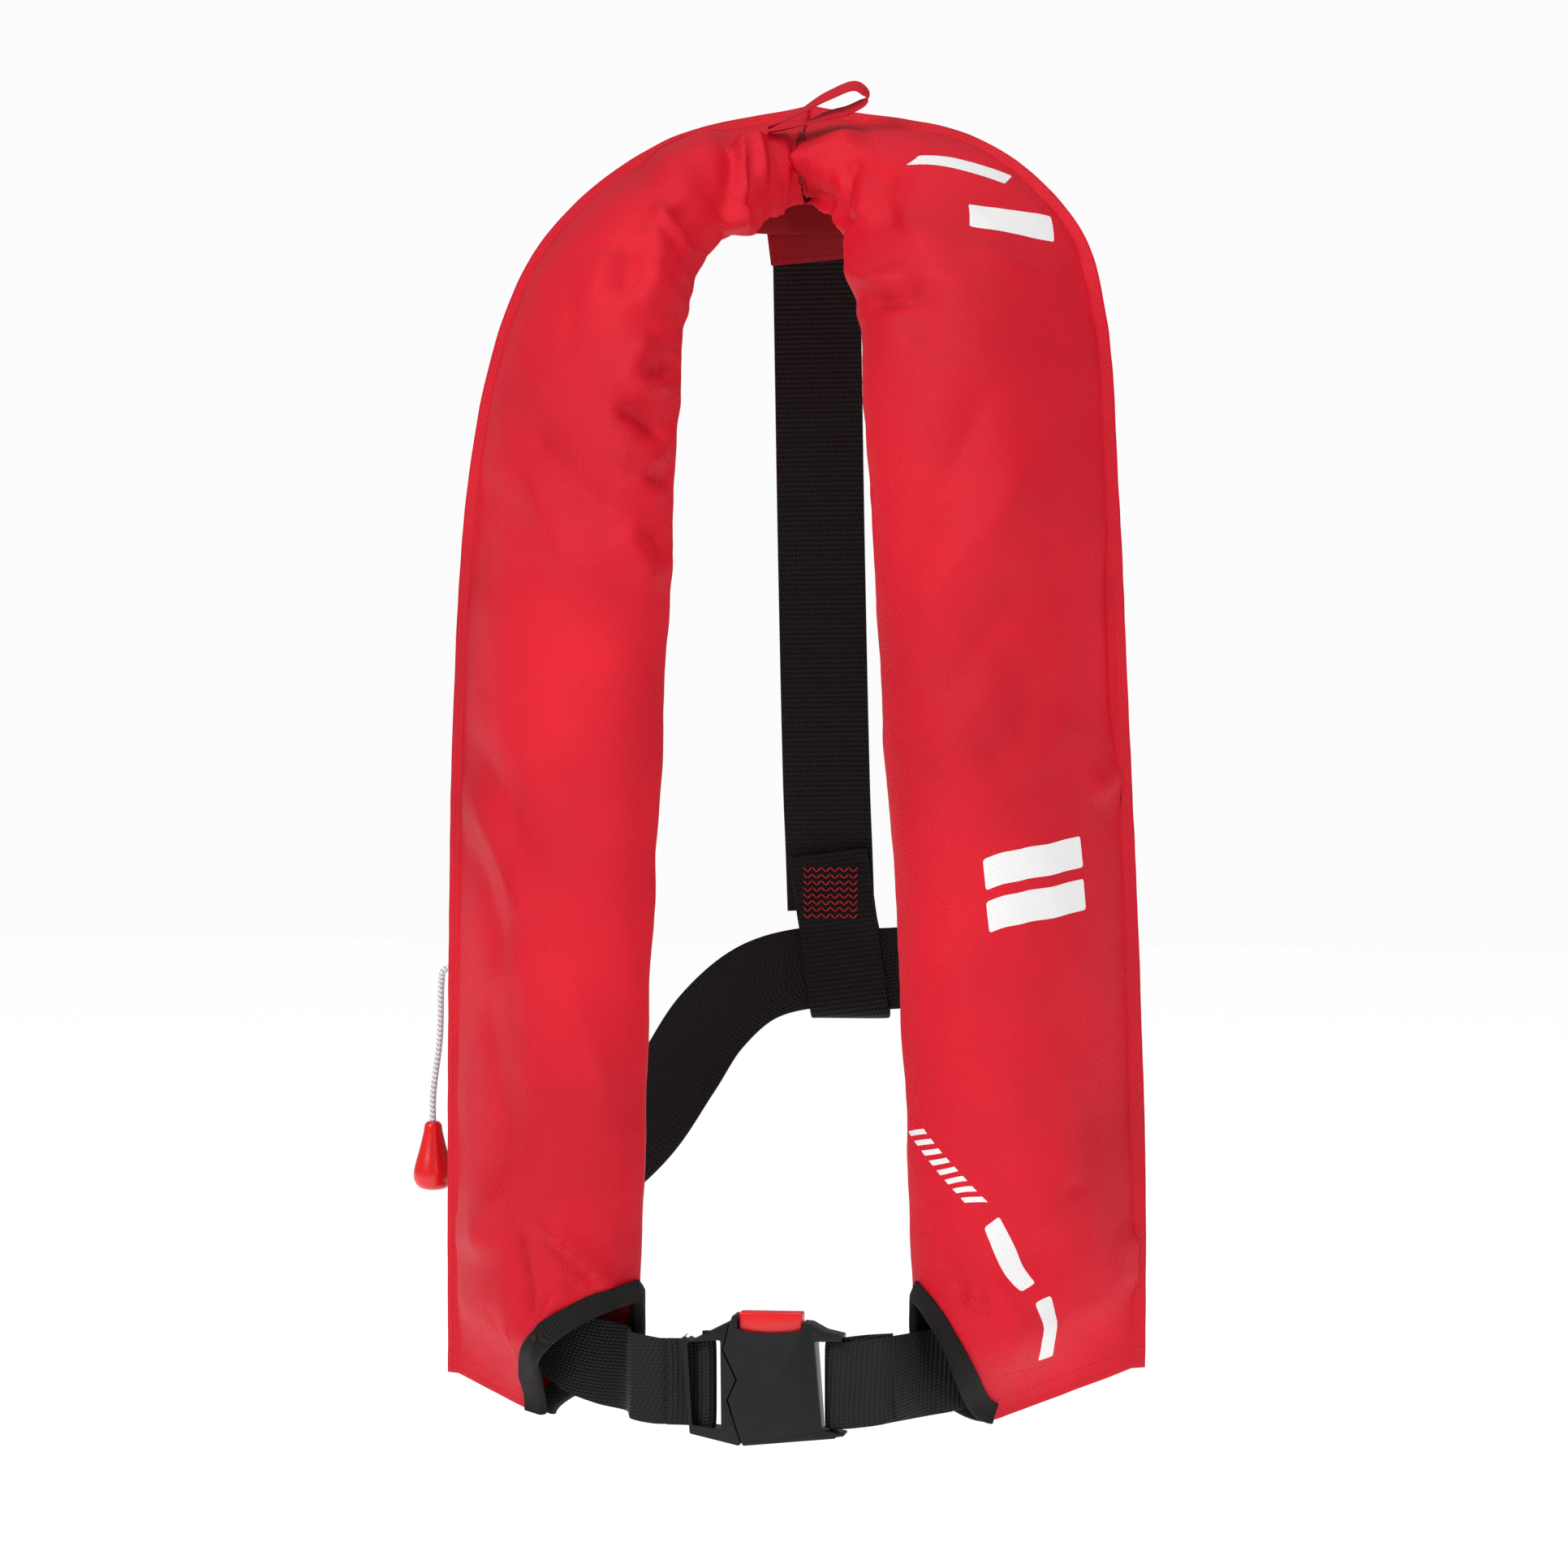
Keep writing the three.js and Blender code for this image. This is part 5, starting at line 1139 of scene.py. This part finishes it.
# Round the housing's bar, then by the right lobe, the back and the left lobe.
belt_knots = [
    ((62, -165.6, -546.4), UP), ((50, -166.9, -547.2), UP), ((41, -167.4, -548.4), UP),
    ((35.2, -168.3, -549.6), UP), ((31.4, -170.4, -550), UP), ((30.9, -173.2, -550), UP),
    ((33.6, -175.5, -550), UP), ((39, -175.3, -550), UP), ((47, -172.6, -549.4), UP),
    ((57, -169.6, -548), UP), *inside_of("right"), ((148, -92, -513), UP), ((163, -70, -493), UP),
    ((156, -40, -457), UP), *round_back, ((-130, -54, -496), (-0.2, 0.2, 0.95)),
    ((-139, -76, -509), UP), *inside_of("left")[:3:-1]]
belt = webbing("waist_belt_webbing", belt_knots, 40, 1.9, WEBBING, step=1.5)
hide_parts("waist_belt")

end_knots = [*inside_of("left")[3::-1], ((-60, -167.5, -548), UP), ((-49, -169, -550), UP),
             ((-43.9, -169, -550), UP)]
belt_end = webbing("belt_end_webbing", end_knots, 40, 1.9, WEBBING, body=None)
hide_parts("belt_end_left")
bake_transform(belt_end)

# The webbing passes behind the rail, round the bar from behind, and back out behind the rail.
wrap = webbing("belt_wrap_webbing", [
    ((-44, -169, -550), UP), ((-37, -168.7, -550), UP), ((-30, -168.5, -550), UP),
    ((-24.6, -168.4, -550), UP), ((-21.8, -170.2, -550), UP), ((-21.6, -173.4, -550), UP),
    ((-24.4, -175.5, -550), UP), ((-28.0, -174.6, -550), UP), ((-31.2, -172.4, -550), UP),
    ((-37, -171.1, -550), UP), ((-44, -171.1, -550), UP)], 40, 1.9, WEBBING, body="buckle_tongue",
    step=0.8)
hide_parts("belt_wrap_left")

# ------------------------------------------------------------------ buckle
HALF_THICK, REACH_UP = 7.5, 28
FACE, REAR = BUCKLE[1] - HALF_THICK, BUCKLE[1] + HALF_THICK
TOP, FOOT = BUCKLE[2] + REACH_UP, BUCKLE[2] - REACH_UP


def moulding(name, outline, bevel, body):
    """A half of the buckle, as a plate with its corners rounded and its edges softened."""
    corners = rounded([corner[:2] for corner in outline], [corner[2] for corner in outline])
    bm = soften(slab(bmesh.new(), corners, FACE, REAR), bevel, 4, 50)
    return finished(name, bm, ACETAL, body=body)


def rod(x, y, z0, z1, radius, sides=24):
    """An upright round bar."""
    bm = bmesh.new()
    bmesh.ops.create_cone(bm, cap_ends=True, segments=sides, radius1=radius * MM,
                          radius2=radius * MM, depth=(z1 - z0) * MM,
                          matrix=Matrix.Translation(Vector((x, y, (z0 + z1) / 2)) * MM))
    return finished("tool", bm, body=None, smooth_angle=0)


# The halves part on a line that leans, steps over and leans on: x, height and corner radius.
part_line = [(-7.6, -568, 4), (-10.2, -556, 5), (-13, -548, 4), (-13.2, -534, 4)]
housing = moulding("buckle_housing_moulded", [
    (-13.5, TOP, 1), (-12.8, TOP + 4.7, 1.6), (24.5, TOP + 4.7, 5), (33, TOP + 1.6, 6),
    (39, TOP - 5, 1.2), (38.6, TOP - 7.4, 1), (25.8, TOP - 7.2, 1.2),
    (28.4, FOOT + 7, 1.6), (40.2, FOOT + 6.8, 1.6), (39.6, FOOT, 5), (-7.6, FOOT, 1), *part_line],
    1.5, "jacket")
combine(housing, "DIFFERENCE",
        block(-9.9, 20.4, BUCKLE[1] - 5.2, BUCKLE[1] + 5.2, -532.6, -510),
        block(-9.9, 20.4, FACE - 3, REAR + 3, TOP, -510),
        slab_tool([(-9.9, -510), (-9.9, -524.2), (-4, -525.4), (5, -525.9), (14, -525.4),
                   (20.4, -524.2), (20.4, -510)], FACE - 3, BUCKLE[1]),
        block(-20, 19, BUCKLE[1] - 2.2, BUCKLE[1] + 2.2, -564.4, -535.6),
        block(0.6, 12.4, BUCKLE[1] - 5.2, BUCKLE[1] + 5.2, -574.9, -531.6))
combine(housing, "UNION", rod(34.5, -172, -574, -526, 2.2))
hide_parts("buckle_housing")

tongue = moulding("buckle_tongue_moulded", [
    (-40.2, TOP - 4, 5), (-33, TOP - 1.2, 8), (-14.4, TOP, 1),
    *[(x - 0.8, z, r) for x, z, r in part_line[::-1]], (-8.4, FOOT, 1), (-36.6, FOOT, 6)],
    1.7, "buckle_tongue")
combine(tongue, "DIFFERENCE",
        slab_tool(rounded([(-34.6, -529), (-17.2, -529), (-16.8, -571), (-32.8, -571)],
                          [2.5, 1.5, 1.5, 3]), FACE - 3, REAR + 3),
        block(-46, -33.6, TAIL_Y - 4, REAR + 3, -571.4, -528.6))
combine(tongue, "UNION", rod(-25, -172, -574, -526, 2.2),
        slab_tool([(-16, -536), (15.5, -536), (17.5, -539), (17.5, -561), (15.5, -564), (8.6, -564),
                   (8.6, -560.6), (3.4, -560.6), (3.4, -564), (-16, -564)],
                  BUCKLE[1] - 1.8, BUCKLE[1] + 1.8))
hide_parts("buckle_tongue")
button = from_cad("buckle_button", ABS_RED, 0.9, "buckle_button", 3)
# The spring under the button is squeezed as the button goes down.
SPRING_FOOT, SPRING_HEAD = -531.95, -526.85
coil = [(16 + 2 * math.cos(a), BUCKLE[1] + 2 * math.sin(a),
         mix(SPRING_FOOT, SPRING_HEAD, a / (3 * TURN))) for a in np.linspace(0, 3 * TURN, 90)]
spring = tube("button_spring_coil", np.array(coil), 0.35, SPRING, sides=8, body=None)
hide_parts("button_spring")
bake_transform(spring)

# ------------------------------------------------------------------ pull toggle
toggle_bm = bmesh.new()
profile = [(0, 0), (2.9, 0), (3.9, -1.2), (4.6, -5), (6.4, -12.5), (8.5, -20), (9.4, -24.6),
           (9.1, -28), (7, -31.2), (3.6, -32.5), (0, -32.7)]
spots = evenly(laid_curve([(r, 0, z) for r, z in profile], np.linspace(0, 1, 120)), 34)
ring = [toggle_bm.verts.new(Vector((max(r, 0), 0, z)) * MM) for r, _, z in spots]
lathe = [toggle_bm.edges.new(pair) for pair in zip(ring, ring[1:])]
bmesh.ops.spin(toggle_bm, geom=ring + lathe, cent=(0, 0, 0), axis=(0, 0, 1), angle=TURN, steps=36,
               use_merge=True)
bmesh.ops.remove_doubles(toggle_bm, verts=toggle_bm.verts, dist=2e-6)
bmesh.ops.translate(toggle_bm, verts=toggle_bm.verts, vec=Vector((-170.4, -85, -438.6)) * MM)
toggle = finished("pull_toggle_moulded", outward(toggle_bm), ABS_RED, body="pull")
combine(toggle, "DIFFERENCE", rod(-170.4, -85, -446.2, -430, 1.9, 20))
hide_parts("pull_toggle")

# ------------------------------------------------------------------ bladder
BLADDER_RING = [(0.16, 2.5), (0.2, 0.6), (0.28, 0), (0.5, -0.3), (0.72, 0), (0.8, 0.6), (0.84, 2.5),
                (0.84, 5.5), (0.8, 7.3), (0.72, 8), (0.5, 8.2), (0.28, 8), (0.2, 7.3), (0.16, 5.5)]


def bladder_rows(name, t):
    """Rounds of the folded bladder in a lobe, one to each t."""
    inner, chord, width, front = axes_at(LOBES[name], t)
    back = -0.62 * mix(16, 12, smooth((t * STATIONS - 4) / 3.5))
    return np.stack([inner + chord * (c * width)[:, None] + front * (back + n)[:, None]
                     for c, n in BLADDER_RING + BLADDER_RING[:1]], axis=1)


climb = np.linspace(time_at(-500), 1, 70)
shape = np.vstack([bladder_rows("left", climb), bladder_rows("right", climb[:-1])[::-1]])
shape[..., 1] -= 0.4 * cloud(shape, 14, 2.2)
bladder = finished("bladder_folded", outward(cloth_grid(shape, around=True, caps=True)), YELLOW)
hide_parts("bladder")

# ------------------------------------------------------------------ finishes of the CAD's own pieces
FINISHES = {
    ACETAL: ("inflator_body", "bladder_stem", "stem_nut", "oral_tube", "oral_cap"),
    ABS_RED: ("inflator_lever", "oral_valve"), ZINC: ("gas_cylinder", "lever_pin", "button_catch"),
    POLYCARBONATE: ("sensor_cap",), POLYPROPYLENE: ("whistle",)}
for material, names in FINISHES.items():
    for node in names:
        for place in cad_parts[node].material_slots:
            place.material = material

# ------------------------------------------------------------------ floor and light
floor_bm = bmesh.new()
bmesh.ops.create_grid(floor_bm, x_segments=1, y_segments=1, size=6,
                      matrix=Matrix.Translation((0, 0, -0.72)))
# Seamless white paper, lit from below as well, so that it is as pale as the studio behind it.
paper, _, _ = new_finish("white_paper", "#c4c4c4", 0.9, Emission_Color=(1, 1, 1, 1),
                         Emission_Strength=0.82)
floor = finished("floor", floor_bm, paper, body=None)

bpy.context.scene.view_settings.view_transform = "Standard"
world = bpy.data.worlds.new("studio")
bpy.context.scene.world = world
world.use_nodes = True
sky = world.node_tree
# The white studio behind the jacket is brighter than the light that it throws on it.
glow = add_node(sky, "ShaderNodeMix", {0: add_node(sky, "ShaderNodeLightPath").outputs[0], 2: 0.26,
                                       3: 0.97}, data_type="FLOAT")
sky.nodes["Background"].inputs["Color"].default_value = (1, 1, 1, 1)
sky.links.new(glow.outputs[0], sky.nodes["Background"].inputs["Strength"])


def softbox(name, place, size, watts):
    """A square area light that faces the jacket."""
    light = bpy.data.objects.new(name, bpy.data.lights.new(name, "AREA"))
    light.data.size, light.data.energy = size, watts
    light.location = place
    light.rotation_euler = (AIM - Vector(place)).to_track_quat("-Z", "Y").to_euler()
    bpy.context.collection.objects.link(light)


softbox("key", (-1.5, -1.7, 1.25), 0.9, 36)
softbox("fill", (1.7, -2.3, 0.6), 1.2, 24)
softbox("top", (0.2, -0.5, 1.9), 1.0, 16)
